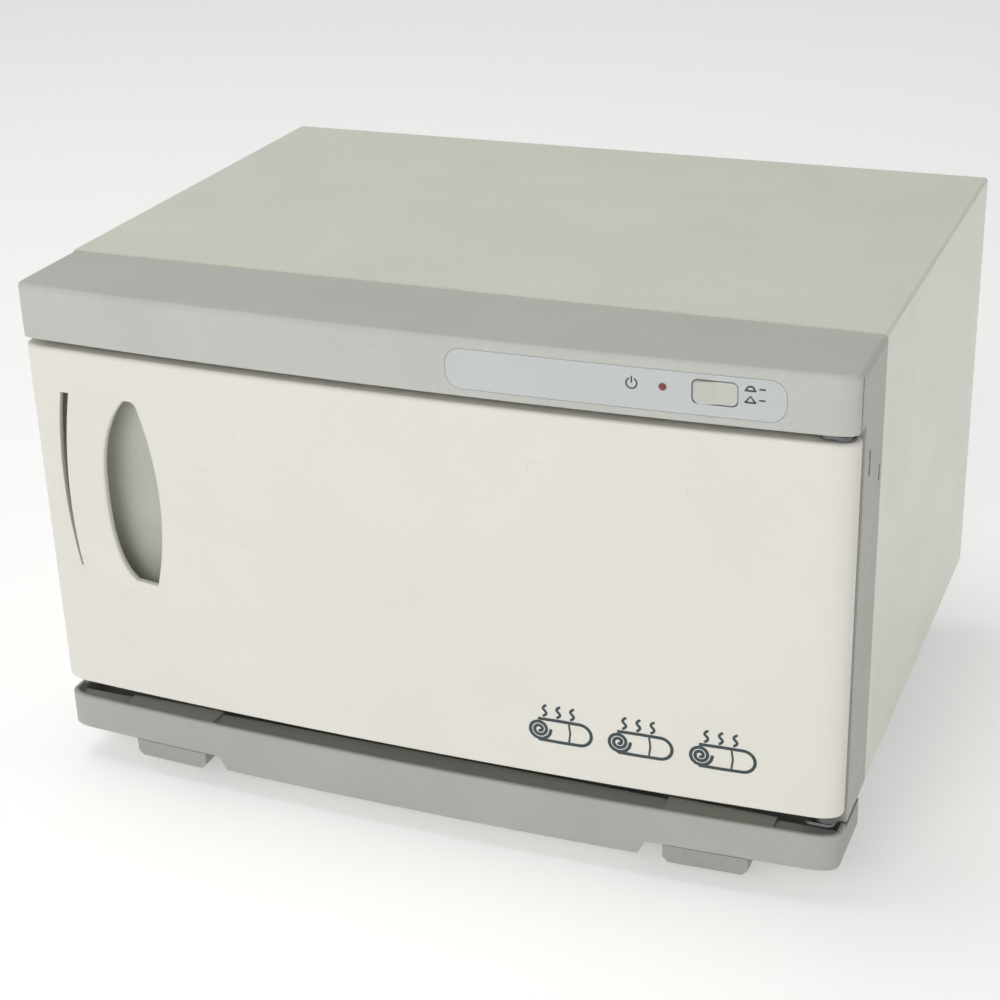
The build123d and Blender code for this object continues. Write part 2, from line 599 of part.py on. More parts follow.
# ---------------------------------------------------------------- control fascia and its label
FASCIA_EDGE = 2.5
FASCIA_START = 213.0
FASCIA_CORNER = -157.0
HOUSING_HALF = (14.2, 7.6)       # half width and half height of the switch housing
SWITCH_HOLE = (12.4, 6.4)        # half sizes of the fascia's cut-out
WINDOW_HALF = (11.1, 6.15)       # half sizes of the label's cut-out
LAMP_RADIUS = 1.75
LABEL_RADIUS = 8.0


def label_blank(growth, lift):
    """The label's outline, grown all round, following the crowned front and lifted out of its surface."""
    x = (LABEL_X[0] - growth, LABEL_X[1] + growth)
    z = (LABEL_Z[0] - growth, LABEL_Z[1] + growth)
    with BuildPart() as blank:
        crown_band((x[0] - 5, x[1] + 5), (z[0] - 5, z[1] + 5), -lift, LABEL_THICK + lift)
        extrude(front_pill(x, z, LABEL_RADIUS + growth, FRONT_Y - 5), amount=20, mode=Mode.INTERSECT)
    return blank.part


def switch_opening(half, radius):
    """A rounded prism through the front at the rocker."""
    x = (ROCKER_X - half[0], ROCKER_X + half[0])
    z = (ROCKER_Z - half[1], ROCKER_Z + half[1])
    extrude(front_pill(x, z, radius, FRONT_Y - 5), amount=20, mode=Mode.SUBTRACT)


with BuildPart() as control_fascia:
    outline = front_plan(FASCIA_Z, SEAM_Y, start=FASCIA_START, corner_end=FASCIA_CORNER)
    extrude(outline, amount=FASCIA_TOP - FASCIA_Z)
    rims = control_fascia.faces().sort_by(Axis.Z)[-1].edges().sort_by(Axis.Y)[:3]
    fillet(rims, FASCIA_EDGE)
    hollow = front_plan(
        FASCIA_Z + FASCIA_WALL,
        SEAM_Y,
        side=HALF - FASCIA_WALL,
        start=FASCIA_START - 2.0,
        corner_end=FASCIA_CORNER + FASCIA_WALL,
        inset=FASCIA_WALL,
    )
    extrude(hollow, amount=FRAME_TOP + 0.2 - FASCIA_Z - FASCIA_WALL, mode=Mode.SUBTRACT)
    block((-HALF, HALF), (FASCIA_BACK, SEAM_Y), (FASCIA_Z, FRAME_TOP + 0.2), Mode.SUBTRACT)
    add(label_blank(0.15, 2.0), mode=Mode.SUBTRACT)
    switch_opening(SWITCH_HOLE, 2.0)
    with Locations(Location((LAMP_X, FRONT_Y, LAMP_Z), (90, 0, 0))):
        Cylinder(LAMP_RADIUS + RUNNING, 30.0, mode=Mode.SUBTRACT)
    # screw bosses reached from behind the frame
    for x, z in FASCIA_BOSSES:
        wall_y = crown_y(x) + FASCIA_WALL - 0.5
        with Locations(Location((x, wall_y, z), (-90, 0, 0))):
            Cylinder(4.5, FRAME_FACE - wall_y, align=BOTTOM)
        with Locations(Location((x, FRAME_FACE, z), (90, 0, 0))):
            Cylinder(SCREW_HOLE, 14.0, align=BOTTOM, mode=Mode.SUBTRACT)
control_fascia.part.label = "control_fascia"
export_step(control_fascia.part, "parts/control_fascia.step")

with BuildPart() as control_label:
    add(label_blank(0.0, 0.0))
    switch_opening(WINDOW_HALF, 3.0)
    with Locations(Location((LAMP_X, FRONT_Y, LAMP_Z), (90, 0, 0))):
        Cylinder(LAMP_RADIUS + RUNNING, 30.0, mode=Mode.SUBTRACT)
control_label.part.label = "control_label"
export_step(control_label.part, "parts/control_label.step")

with BuildPart() as fascia_screws:
    fascia_screw = screw(3.4, 2.0, SHANK, 12.0)
    with Locations(*standing(FRAME_FACE + FRAME_WALL, FASCIA_BOSSES, -90)):
        add(fascia_screw)
fascia_screws.part.label = "fascia_screws"
export_step(fascia_screws.part, "parts/fascia_screws.step")

# ---------------------------------------------------------------- rocker switch
# In plan, with local X along the fascia and local Y inwards from its surface.
PIVOT_DEPTH = 6.0
CAP_REACH = 12.1                 # radius of the cap's ends about its pivot
CAP_RISE = 1.2                   # how far the cap's ends stand up in its middle position
CAP_HALF = 5.6                   # half height of the cap along Z
TRUNNION = 1.3
HOUSING_FRONT = FASCIA_WALL + 0.06
HOUSING_BACK = 15.5
HOUSING_WALL = 1.3
TAB_X = (-9.0, 0.0, 9.0)
TAB_Y = 20.0
TAB_HALF = 2.4
TAB_SHEET = 0.8
CAP_SKIRT = 4.5                  # depth at which the cap's end arcs stop
CAP_FOOT = (4.0, 8.5)            # half width and depth of its underside
CAP_ROUND = 2.4

with BuildPart() as switch_housing:
    with BuildSketch(surface_plane(ROCKER_X, ROCKER_Z - HOUSING_HALF[1])):
        with Locations((0, (HOUSING_FRONT + HOUSING_BACK) / 2)):
            Rectangle(2 * HOUSING_HALF[0], HOUSING_BACK - HOUSING_FRONT)
    extrude(amount=2 * HOUSING_HALF[1])
    with BuildSketch(surface_plane(ROCKER_X, ROCKER_Z - HOUSING_HALF[1] + HOUSING_WALL)):
        with Locations((0, (HOUSING_FRONT + HOUSING_BACK) / 2 - HOUSING_WALL)):
            Rectangle(2 * (HOUSING_HALF[0] - HOUSING_WALL), HOUSING_BACK - HOUSING_FRONT)
    extrude(amount=2 * (HOUSING_HALF[1] - HOUSING_WALL), mode=Mode.SUBTRACT)
    with BuildSketch(surface_plane(ROCKER_X, ROCKER_Z - HOUSING_HALF[1])):
        with Locations((0, PIVOT_DEPTH)):
            Circle(TRUNNION + RUNNING)
    extrude(amount=2 * HOUSING_HALF[1], mode=Mode.SUBTRACT)
switch_housing.part.label = "switch_housing"
export_step(switch_housing.part, "parts/switch_housing.step")

with BuildPart() as switch_tabs:
    with BuildSketch(surface_plane(ROCKER_X, ROCKER_Z - TAB_HALF)):
        with Locations(*[(x, (HOUSING_BACK + TAB_Y) / 2) for x in TAB_X]):
            Rectangle(TAB_SHEET, TAB_Y - HOUSING_BACK)
    extrude(amount=2 * TAB_HALF)
switch_tabs.part.label = "switch_tabs"
export_step(switch_tabs.part, "parts/switch_tabs.step")


def turned(x, y, angle):
    """A point of the rocker's plan turned about its pivot."""
    lean = math.radians(angle)
    drop = y - PIVOT_DEPTH
    along = x * math.cos(lean) - drop * math.sin(lean)
    inwards = x * math.sin(lean) + drop * math.cos(lean)
    return (along, inwards + PIVOT_DEPTH)


def cap_end(hand, depth):
    """A point on the cap's end arc at a depth below the fascia's surface, turned to the rest position."""
    reach = math.sqrt(CAP_REACH**2 - (depth - PIVOT_DEPTH) ** 2)
    return turned(hand * reach, depth, ROCK_ANGLE)


with BuildPart() as rocker_cap:
    with BuildSketch(surface_plane(ROCKER_X, ROCKER_Z - CAP_HALF)):
        with BuildLine():
            for hand in (1, -1):
                Line(turned(0, 0, ROCK_ANGLE), cap_end(hand, -CAP_RISE))
                ThreePointArc(*[cap_end(hand, depth) for depth in (-CAP_RISE, CAP_SKIRT / 2, CAP_SKIRT)])
                Line(cap_end(hand, CAP_SKIRT), turned(hand * CAP_FOOT[0], CAP_FOOT[1], ROCK_ANGLE))
            Line(turned(-CAP_FOOT[0], CAP_FOOT[1], ROCK_ANGLE), turned(*CAP_FOOT, ROCK_ANGLE))
        make_face()
    extrude(amount=2 * CAP_HALF)
    fillet(rocker_cap.edges().filter_by(GeomType.CIRCLE), CAP_ROUND)
    with BuildSketch(surface_plane(ROCKER_X, ROCKER_Z - HOUSING_HALF[1] + 0.1)):
        with Locations((0, PIVOT_DEPTH)):
            Circle(TRUNNION)
    extrude(amount=2 * HOUSING_HALF[1] - 0.2)
rocker_cap.part.label = "rocker_cap"
export_step(rocker_cap.part, "parts/rocker_cap.step")

# ---------------------------------------------------------------- pilot lamp
LAMP_FACE = crown_y(LAMP_X)
with BuildPart() as pilot_lamp_lens:
    with Locations(Location((LAMP_X, LAMP_FACE - 0.4, LAMP_Z), (-90, 0, 0))):
        Cylinder(LAMP_RADIUS, 6.0, align=BOTTOM)
    with Locations((LAMP_X, LAMP_FACE - 0.4 + 0.9, LAMP_Z)):
        Sphere(LAMP_RADIUS)
    with Locations(Location((LAMP_X, LAMP_FACE + FASCIA_WALL + 0.3, LAMP_Z), (-90, 0, 0))):
        Cylinder(LAMP_RADIUS + 0.9, 1.2, align=BOTTOM)
pilot_lamp_lens.part.label = "pilot_lamp_lens"
export_step(pilot_lamp_lens.part, "parts/pilot_lamp_lens.step")

with BuildPart() as pilot_lamp_holder:
    holder = LAMP_RADIUS + 2.4
    block(
        (LAMP_X - holder, LAMP_X + holder),
        (LAMP_FACE + FASCIA_WALL + 1.6, LAMP_FACE + FASCIA_WALL + 13.0),
        (LAMP_Z - holder, LAMP_Z + holder),
    )
    with Locations(Location((LAMP_X, LAMP_FACE, LAMP_Z), (-90, 0, 0))):
        Cylinder(LAMP_RADIUS + RUNNING, 6.0, align=BOTTOM, mode=Mode.SUBTRACT)
pilot_lamp_holder.part.label = "pilot_lamp_holder"
export_step(pilot_lamp_holder.part, "parts/pilot_lamp_holder.step")

# ---------------------------------------------------------------- hinge brackets, bushes and catch magnet
BRACKET_FRONT = -161.5
LEAF_HEIGHT = 22.0
BUSH_RADIUS = 4.0
BUSH_FLANGE = 6.0
LEAF_Y = (FRAME_FACE + FRAME_WALL, FRAME_FACE + FRAME_WALL + BRACKET_SHEET)


def hinge_bracket(shelf, upright):
    """A bent plate: a shelf with the bush hole, and an upright leaf behind the frame's face."""
    with BuildPart() as bracket:
        block(BRACKET_X, (BRACKET_FRONT, LEAF_Y[1]), shelf)
        front_corners = bracket.edges().filter_by(Axis.Z).sort_by(Axis.Y)[:2]
        fillet(front_corners, 4.0)
        block(BRACKET_X, LEAF_Y, upright)
        with Locations((HINGE[0], HINGE[1], shelf[0])):
            Cylinder(BUSH_RADIUS + 0.02, 4 * BRACKET_SHEET, mode=Mode.SUBTRACT)
    return bracket.part


with BuildPart() as upper_hinge_bracket:
    shelf = (UPPER_LEAF_Z, UPPER_LEAF_Z + BRACKET_SHEET)
    add(hinge_bracket(shelf, (shelf[1] - LEAF_HEIGHT, shelf[1])))
upper_hinge_bracket.part.label = "upper_hinge_bracket"
export_step(upper_hinge_bracket.part, "parts/upper_hinge_bracket.step")

with BuildPart() as lower_hinge_bracket:
    shelf = (LOWER_LEAF_Z, LOWER_LEAF_Z + BRACKET_SHEET)
    add(hinge_bracket(shelf, (shelf[0], shelf[0] + LEAF_HEIGHT)))
lower_hinge_bracket.part.label = "lower_hinge_bracket"
export_step(lower_hinge_bracket.part, "parts/lower_hinge_bracket.step")

# Each bush has its flange on the side that faces the door.
UPPER_BUSH = (DOOR_TOP + SHADOW, UPPER_LEAF_Z, UPPER_LEAF_Z + BRACKET_SHEET + 0.4)
LOWER_BUSH = (DOOR_Z - SHADOW, LOWER_LEAF_Z + BRACKET_SHEET, LOWER_LEAF_Z - 0.4)
with BuildPart() as hinge_bushes:
    for near_door, seat, far_end in (UPPER_BUSH, LOWER_BUSH):
        low, high = sorted((near_door, seat))
        with Locations((*HINGE, low)):
            Cylinder(BUSH_FLANGE, high - low, align=BOTTOM)
        low, high = sorted((near_door, far_end))
        with Locations((*HINGE, low)):
            Cylinder(BUSH_RADIUS, high - low, align=BOTTOM)
            Cylinder(PIN_RADIUS + RUNNING, high - low, align=BOTTOM, mode=Mode.SUBTRACT)
hinge_bushes.part.label = "hinge_bushes"
export_step(hinge_bushes.part, "parts/hinge_bushes.step")

with BuildPart() as catch_magnet:
    block(
        (MAGNET_X[0] + 0.2, MAGNET_X[1] - 0.2),
        (FRAME_FACE - 1.3, FRAME_FACE + 6.0),
        (MAGNET_Z[0] + 0.2, MAGNET_Z[1] - 0.2),
    )
catch_magnet.part.label = "catch_magnet"
export_step(catch_magnet.part, "parts/catch_magnet.step")

# ---------------------------------------------------------------- drip tray
TRAY_TOP = CASING_Z
TRAY_SLIP = 39.0                 # top of the part that passes under the frame
TRAY_FLOOR = 2.2
TRAY_LIP = 1.2                   # rounding of its front lip
LEDGE_TOP = 36.6                 # a shelf behind the lip, in front of the well
LEDGE_BACK = -147.5
PAD_X = (132.0, 190.0)
PAD_TOP = 38.4
TRAY_REAR_WALL = TRAY_BACK - TRAY_WALL
TRAY_INNER = dict(side=HALF - TRAY_WALL, start=208.0, inset=TRAY_WALL)
TRAY_SLOPE = 4.0                 # width of the step between the shallow ends and the deeper middle
TRAY_CORNER = 2.0
TRAY_STEP = 1.5                  # how far the slipped-under part reaches in front of the frame's face
GUIDE_X = (196.0, 218.0)


def tray_outline(x_end, end_z, mid_x, mid_z):
    """Front elevation of the tray: shallow ends, deeper middle, rounded outer corners."""
    slope_x = mid_x + TRAY_SLOPE
    path = (
        (0.0, mid_z), (mid_x, mid_z), (slope_x, end_z), (x_end, end_z), (x_end, HEIGHT),
        (-x_end, HEIGHT), (-x_end, end_z), (-slope_x, end_z), (-mid_x, mid_z),
    )
    with BuildSketch(Plane.XZ.offset(-TRAY_BACK)) as elevation:
        with BuildLine():
            Polyline(*path, close=True)
        make_face()
        fillet(elevation.vertices().sort_by(Axis.Y)[:8], TRAY_CORNER)
    return elevation.sketch


def tray_space(z_top, plan, outline):
    """The solid under z_top that has the given plan and front elevation."""
    with BuildPart() as space:
        extrude(plan, amount=z_top)
        extrude(outline, amount=TRAY_BACK - FRONT_Y, mode=Mode.INTERSECT)
    return space.part


with BuildPart() as drip_tray:
    outside = tray_outline(HALF, TRAY_END_Z, TRAY_MID_X, TRAY_MID_Z)
    add(tray_space(TRAY_TOP, front_plan(0.0, TRAY_BACK), outside))
    fillet(drip_tray.faces().sort_by(Axis.Z)[-1].edges().sort_by(Axis.Y)[:3], TRAY_LIP)
    inside = tray_outline(
        HALF - TRAY_WALL,
        TRAY_END_Z + TRAY_FLOOR,
        TRAY_MID_X - TRAY_WALL,
        TRAY_MID_Z + TRAY_FLOOR,
    )
    well = tray_space(HEIGHT, front_plan(0.0, TRAY_REAR_WALL, **TRAY_INNER), inside)
    add(well, mode=Mode.SUBTRACT)
    shelf = front_plan(LEDGE_TOP - TRAY_FLOOR, LEDGE_BACK)
    extrude(shelf, amount=TRAY_FLOOR)
    block((-HALF + 1, HALF - 1), (LEDGE_BACK - TRAY_WALL, LEDGE_BACK), (TRAY_END_Z + 1, LEDGE_TOP))
    for side in both_sides(PAD_X):
        block(side, (FRONT_Y + 10, LEDGE_BACK), (LEDGE_TOP - 1, PAD_TOP))
    block((-HALF, HALF), (FRAME_FACE - TRAY_STEP, TRAY_BACK), (TRAY_SLIP, TRAY_TOP), Mode.SUBTRACT)
drip_tray.part.label = "drip_tray"
export_step(drip_tray.part, "parts/drip_tray.step")

with BuildPart() as tray_guides:
    for side in both_sides(GUIDE_X):
        block(side, (FRAME_FACE + 2.0, TRAY_BACK + 8.0), (TRAY_SLIP + 0.4, CASING_Z))
tray_guides.part.label = "tray_guides"
export_step(tray_guides.part, "parts/tray_guides.step")

# ---------------------------------------------------------------- door shell with its pull handle
HANDLE_Z = (121.5, 231.5)
BAR_PROUD = 3.0                  # how far the bar arches out of the door's face
BAR_THICK = 3.5
BAR_OVERLAP = 3.4
BAR_ROUND = 1.2
BAR_X = -186.0
STILE_X = 203.0                  # the hinge side of the door is solid beyond this
POCKET_X = (-214.5, -144.5)
POCKET_Z = (113.5, 236.5)
POCKET_WALL = 1.5
POCKET_BACK = -149.5
PIN_DEPTH = 22.0
DOOR_EDGE = 2.0
HOLLOW_START = 207.0             # where the hollow's crowned front turns into its corner

# bowed edges of the handle, each through points of the front (x, z)
SLIT_SIDE = ((-202.8, 231.0), (-207.8, 180.0), (-203.0, 128.5))
BAR_LEFT = ((-197.2, 237.0), (-202.9, 180.0), (-200.4, 115.0))
BAR_RIGHT = (
    (-150.0, 237.0), (-163.0, 231.4), (-168.4, 225.0), (-173.8, 214.0), (-177.4, 200.0), (-178.7, 180.0),
    (-177.9, 155.0), (-175.3, 140.0), (-170.6, 129.2), (-163.5, 122.3), (-150.0, 116.0),
)
GRIP_SIDE = ((-156.5, 231.5), (-146.7, 178.0), (-153.6, 124.0))
MOUTH_ROUND = 4.5                # rounding of the finger opening's upper corner
FRONT_PLANE = Plane(origin=(0, FRONT_Y - 5, 0), x_dir=(1, 0, 0), z_dir=(0, -1, 0))


def between(first, second):
    """The area between two bowed edges of the handle, drawn in the plane of the front."""
    with BuildSketch(FRONT_PLANE) as area:
        with BuildLine():
            for edge in (first, second):
                Spline(*edge)
            for end in (0, -1):
                Line(first[end], second[end])
        make_face()
    return area.sketch


def handle_mouth():
    """The opening in the door's front that the bar crosses."""
    with BuildSketch(FRONT_PLANE) as mouth:
        with BuildLine():
            for edge in (SLIT_SIDE, GRIP_SIDE):
                ThreePointArc(*edge)
            for end in (0, -1):
                Line(SLIT_SIDE[end], GRIP_SIDE[end])
        make_face()
        fillet(mouth.vertices().sort_by(Axis.Y)[-1], MOUTH_ROUND)
    return mouth.sketch


def handle_bar():
    """The bar, arched out of the door's face and tied into it at both ends."""
    face = crown_y(BAR_X)
    low, high = HANDLE_Z[0] - BAR_OVERLAP, HANDLE_Z[1] + BAR_OVERLAP
    middle = (low + high) / 2
    slope = BAR_X / CROWN_RADIUS
    sideways = Plane(origin=(BAR_X, 0, 0), x_dir=(-slope, 1, 0), z_dir=(1, slope, 0))
    with BuildPart() as bar:
        with BuildSketch(sideways):
            with BuildLine():
                outer = ThreePointArc((face + 0.4, low), (face - BAR_PROUD, middle), (face + 0.4, high))
                inner = offset(outer, BAR_THICK, side=Side.RIGHT, closed=True)
            make_face()
        extrude(amount=40.0, both=True)
        extrude(between(BAR_LEFT, BAR_RIGHT), amount=-60.0, mode=Mode.INTERSECT)
        outer_face = bar.faces().filter_by(GeomType.CYLINDER).sort_by(Axis.Y)[0]
        fillet(outer_face.edges().sort_by(SortBy.LENGTH)[-2:], BAR_ROUND)
    return bar.part


def door_hollow():
    """The space inside the door shell, between its front wall and its open back."""
    with BuildPart() as hollow:
        inner = front_plan(
            DOOR_Z + DOOR_WALL,
            DOOR_BACK,
            side=HALF - DOOR_WALL,
            start=HOLLOW_START,
            inset=DOOR_WALL,
        )
        extrude(inner, amount=DOOR_TOP - DOOR_Z - 2 * DOOR_WALL)
        block((STILE_X, HALF), (FRONT_Y, DOOR_BACK), (DOOR_Z, DOOR_TOP), Mode.SUBTRACT)
    return hollow.part


# Posts inside the shell take the inner panel's screws.
POST_RADIUS = 4.0
DOOR_SCREWS = [(x, z) for x in (-217.0, -130.0, 20.0, 190.0) for z in (61.0, 248.8)]
LINER_SHEET = 1.5
LINER_X = (-HALF + DOOR_WALL + SHADOW, STILE_X - SHADOW)
LINER_Z = (DOOR_Z + DOOR_WALL + SHADOW, DOOR_TOP - DOOR_WALL - SHADOW)
PLUG_X = 184.0
PLUG_Z = (OPEN_Z[0] + 5.0, OPEN_Z[1] - 5.0)
PLUG_BACK = -141.0
PLUG_SHEET = 1.2

with BuildPart() as door_shell:
    extrude(front_plan(DOOR_Z, DOOR_BACK), amount=DOOR_TOP - DOOR_Z)
    hinge_corner = door_shell.edges().filter_by(Axis.Z).group_by(Axis.Y)[-1].sort_by(Axis.X)[-1]
    fillet(hinge_corner, 5.5)
    for end in (-1, 0):
        rim = door_shell.faces().sort_by(Axis.Z)[end].edges().sort_by(Axis.Y)[:3]
        fillet(rim, DOOR_EDGE)
    add(door_hollow(), mode=Mode.SUBTRACT)
    extrude(handle_mouth(), amount=-24.0, mode=Mode.SUBTRACT)
    add(handle_bar())
    for x, z in DOOR_SCREWS:
        with Locations(Location((x, DOOR_BACK - LINER_SHEET, z), (90, 0, 0))):
            post = DOOR_BACK - LINER_SHEET - crown_y(x)
            Cylinder(POST_RADIUS, post - DOOR_WALL + 0.5, align=BOTTOM)
            Cylinder(SCREW_HOLE, 8.5, align=BOTTOM, mode=Mode.SUBTRACT)
    for height in (DOOR_TOP, DOOR_Z + PIN_DEPTH):
        with Locations((*HINGE, height)):
            Cylinder(PIN_RADIUS + 0.02, PIN_DEPTH, align=TOP, mode=Mode.SUBTRACT)
door_shell.part.label = "door_shell"
export_step(door_shell.part, "parts/door_shell.step")

with BuildPart() as handle_pocket:
    add(door_hollow())
    block(POCKET_X, (FRONT_Y, POCKET_BACK), POCKET_Z, Mode.INTERSECT)
    mouth_x = (POCKET_X[0] + POCKET_WALL, POCKET_X[1] - POCKET_WALL)
    mouth_z = (POCKET_Z[0] + POCKET_WALL, POCKET_Z[1] - POCKET_WALL)
    block(mouth_x, (FRONT_Y, POCKET_BACK - POCKET_WALL), mouth_z, Mode.SUBTRACT)
handle_pocket.part.label = "handle_pocket"
export_step(handle_pocket.part, "parts/handle_pocket.step")

with BuildPart() as door_inner_panel:
    block(LINER_X, (DOOR_BACK - LINER_SHEET, DOOR_BACK), LINER_Z)
    block((-PLUG_X, PLUG_X), (DOOR_BACK, PLUG_BACK), PLUG_Z)
    plug_edges = door_inner_panel.edges().filter_by(Axis.Y).group_by(SortBy.LENGTH)[-1]
    fillet(plug_edges, 6.0)
    block(
        (-PLUG_X + PLUG_SHEET, PLUG_X - PLUG_SHEET),
        (DOOR_BACK - LINER_SHEET, PLUG_BACK - PLUG_SHEET),
        (PLUG_Z[0] + PLUG_SHEET, PLUG_Z[1] - PLUG_SHEET),
        Mode.SUBTRACT,
    )
    with Locations(*standing(DOOR_BACK, DOOR_SCREWS, 90)):
        Cylinder(SCREW_HOLE, 4 * LINER_SHEET, mode=Mode.SUBTRACT)
door_inner_panel.part.label = "door_inner_panel"
export_step(door_inner_panel.part, "parts/door_inner_panel.step")

GASKET_OUTER = (197.0, 6.5)      # half width, and how far it reaches past the mouth above and below
GASKET_INNER = (190.5, 2.5)
GASKET_CORNER = 6.0
GASKET_Y = (DOOR_BACK, FRAME_FACE - SHADOW)


def round_the_mouth(reach, mode=Mode.ADD):
    """A block over the chamber's mouth, in the gap between door and frame."""
    block((-reach[0], reach[0]), GASKET_Y, (OPEN_Z[0] - reach[1], OPEN_Z[1] + reach[1]), mode)


with BuildPart() as door_gasket:
    round_the_mouth(GASKET_OUTER)
    gasket_corners = door_gasket.edges().filter_by(Axis.Y)
    fillet(gasket_corners, GASKET_CORNER)
    round_the_mouth(GASKET_INNER, Mode.SUBTRACT)
door_gasket.part.label = "door_gasket"
export_step(door_gasket.part, "parts/door_gasket.step")

with BuildPart() as door_insulation:
    slab = (DOOR_BACK - LINER_SHEET - 10.0, DOOR_BACK - LINER_SHEET - SHADOW)
    block((POCKET_X[1] + 4.0, STILE_X - 2.0), slab, (DOOR_Z + 6.0, DOOR_TOP - 6.0))
    with Locations(*standing(DOOR_BACK, DOOR_SCREWS, 90)):
        Cylinder(POST_RADIUS + 1.5, 60.0, mode=Mode.SUBTRACT)
door_insulation.part.label = "door_insulation"
export_step(door_insulation.part, "parts/door_insulation.step")

# The strike plate lies on the inner panel, opposite the catch magnet.
STRIKE_SHEET = 0.4
with BuildPart() as strike_plate:
    block(
        (MAGNET_X[0] - 1, MAGNET_X[1] + 1),
        (DOOR_BACK, DOOR_BACK + STRIKE_SHEET),
        (MAGNET_Z[0] - 4, MAGNET_Z[1] + 4),
    )
strike_plate.part.label = "strike_plate"
export_step(strike_plate.part, "parts/strike_plate.step")

PIN_END = 3.2                    # how far each pin stands out of the door
with BuildPart() as hinge_pins:
    with Locations((*HINGE, DOOR_TOP + PIN_END), (*HINGE, DOOR_Z + PIN_DEPTH - 0.5)):
        Cylinder(PIN_RADIUS, PIN_DEPTH + PIN_END - 0.5, align=TOP)
hinge_pins.part.label = "hinge_pins"
export_step(hinge_pins.part, "parts/hinge_pins.step")

with BuildPart() as door_screws:
    door_screw = screw(2.9, 1.4, SHANK, 9.0)
    with Locations(*standing(DOOR_BACK, DOOR_SCREWS, -90)):
        add(door_screw)
door_screws.part.label = "door_screws"
export_step(door_screws.part, "parts/door_screws.step")

# ---------------------------------------------------------------- internal wiring
WIRE = 1.3
ENTRY = TERMINAL_TOP + 0.2       # the wires end just above the terminal block
ELEMENT_END = -ELEMENT_X - 0.2
LEAD = WIRE + 0.1

ROUTES = {
    "supply": (
        (GLAND[0], GLAND_IN, GLAND[1]),
        (GLAND[0], FAR_ROW, GLAND[1]),
        (GLAND[0], FAR_ROW, 50.0),
        (WAY_X[0], FAR_ROW, 50.0),
        (WAY_X[0], FAR_ROW, ENTRY),
    ),
    "heater_return": (
        (ELEMENT_END, element_rows[-1], ELEMENT_Z),
        (-140.0, element_rows[-1], ELEMENT_Z),
        (-140.0, 124.0, ELEMENT_Z),
        (-140.0, 124.0, 46.0),
        (WAY_X[1], 124.0, 46.0),
        (WAY_X[1], NEAR_ROW + 0.5, 46.0),
        (WAY_X[1], NEAR_ROW + 0.5, ENTRY),
    ),
    "heater_feed": (
        (ELEMENT_END, element_rows[0], ELEMENT_Z),
        (-146.0, element_rows[0], ELEMENT_Z),
        (-146.0, 133.0, ELEMENT_Z),
        (-146.0, 133.0, FUSE[1]),
        (FUSE[0] - 14.0, 133.0, FUSE[1]),
        (FUSE[0] - 14.0, CHAMBER_BACK + 4.0 + LEAD, FUSE[1]),
    ),
    "fuse_to_thermostat": (
        (FUSE[0] + 14.0, CHAMBER_BACK + 4.0 + LEAD, FUSE[1]),
        (FUSE[0] + 14.0, 128.0, FUSE[1]),
        (THERMOSTAT[0] - 4.0, 128.0, THERMOSTAT[1]),
        (THERMOSTAT[0] - 4.0, CHAMBER_BACK + 18.2, THERMOSTAT[1]),
    ),
    "thermostat_feed": (
        (THERMOSTAT[0] + 4.0, CHAMBER_BACK + 18.2, THERMOSTAT[1]),
        (THERMOSTAT[0] + 4.0, FAR_ROW, THERMOSTAT[1]),
        (THERMOSTAT[0] + 4.0, FAR_ROW, 48.0),
        (WAY_X[2], FAR_ROW, 48.0),
        (WAY_X[2], FAR_ROW, ENTRY),
    ),
    "switch_feed": (
        (WAY_X[2], NEAR_ROW, ENTRY),
        (WAY_X[2], NEAR_ROW, 56.0),
        (149.0, NEAR_ROW, 56.0),
        (149.0, NEAR_ROW, 271.0),
        (149.0, -144.5, 271.0),
    ),
}


def wire(route):
    """A wire along straight runs joined by arcs as large as its shortest run allows, up to 6 mm."""
    shortest = min(math.dist(here, there) for here, there in zip(route, route[1:]))
    with BuildLine() as path:
        FilletPolyline(*route, radius=min(6.0, 0.45 * shortest))
    run = path.wires()[0]
    with BuildPart() as one:
        with BuildSketch(Plane(origin=run @ 0, z_dir=run % 0)):
            Circle(WIRE)
        sweep(path=run)
    return one.part


with BuildPart() as internal_wiring:
    for route in ROUTES.values():
        add(wire(route))
internal_wiring.part.label = "internal_wiring"
export_step(internal_wiring.part, "parts/internal_wiring.step")
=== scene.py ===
import json
import math
import random

import bmesh
import bpy
from mathutils import Matrix, Vector, noise

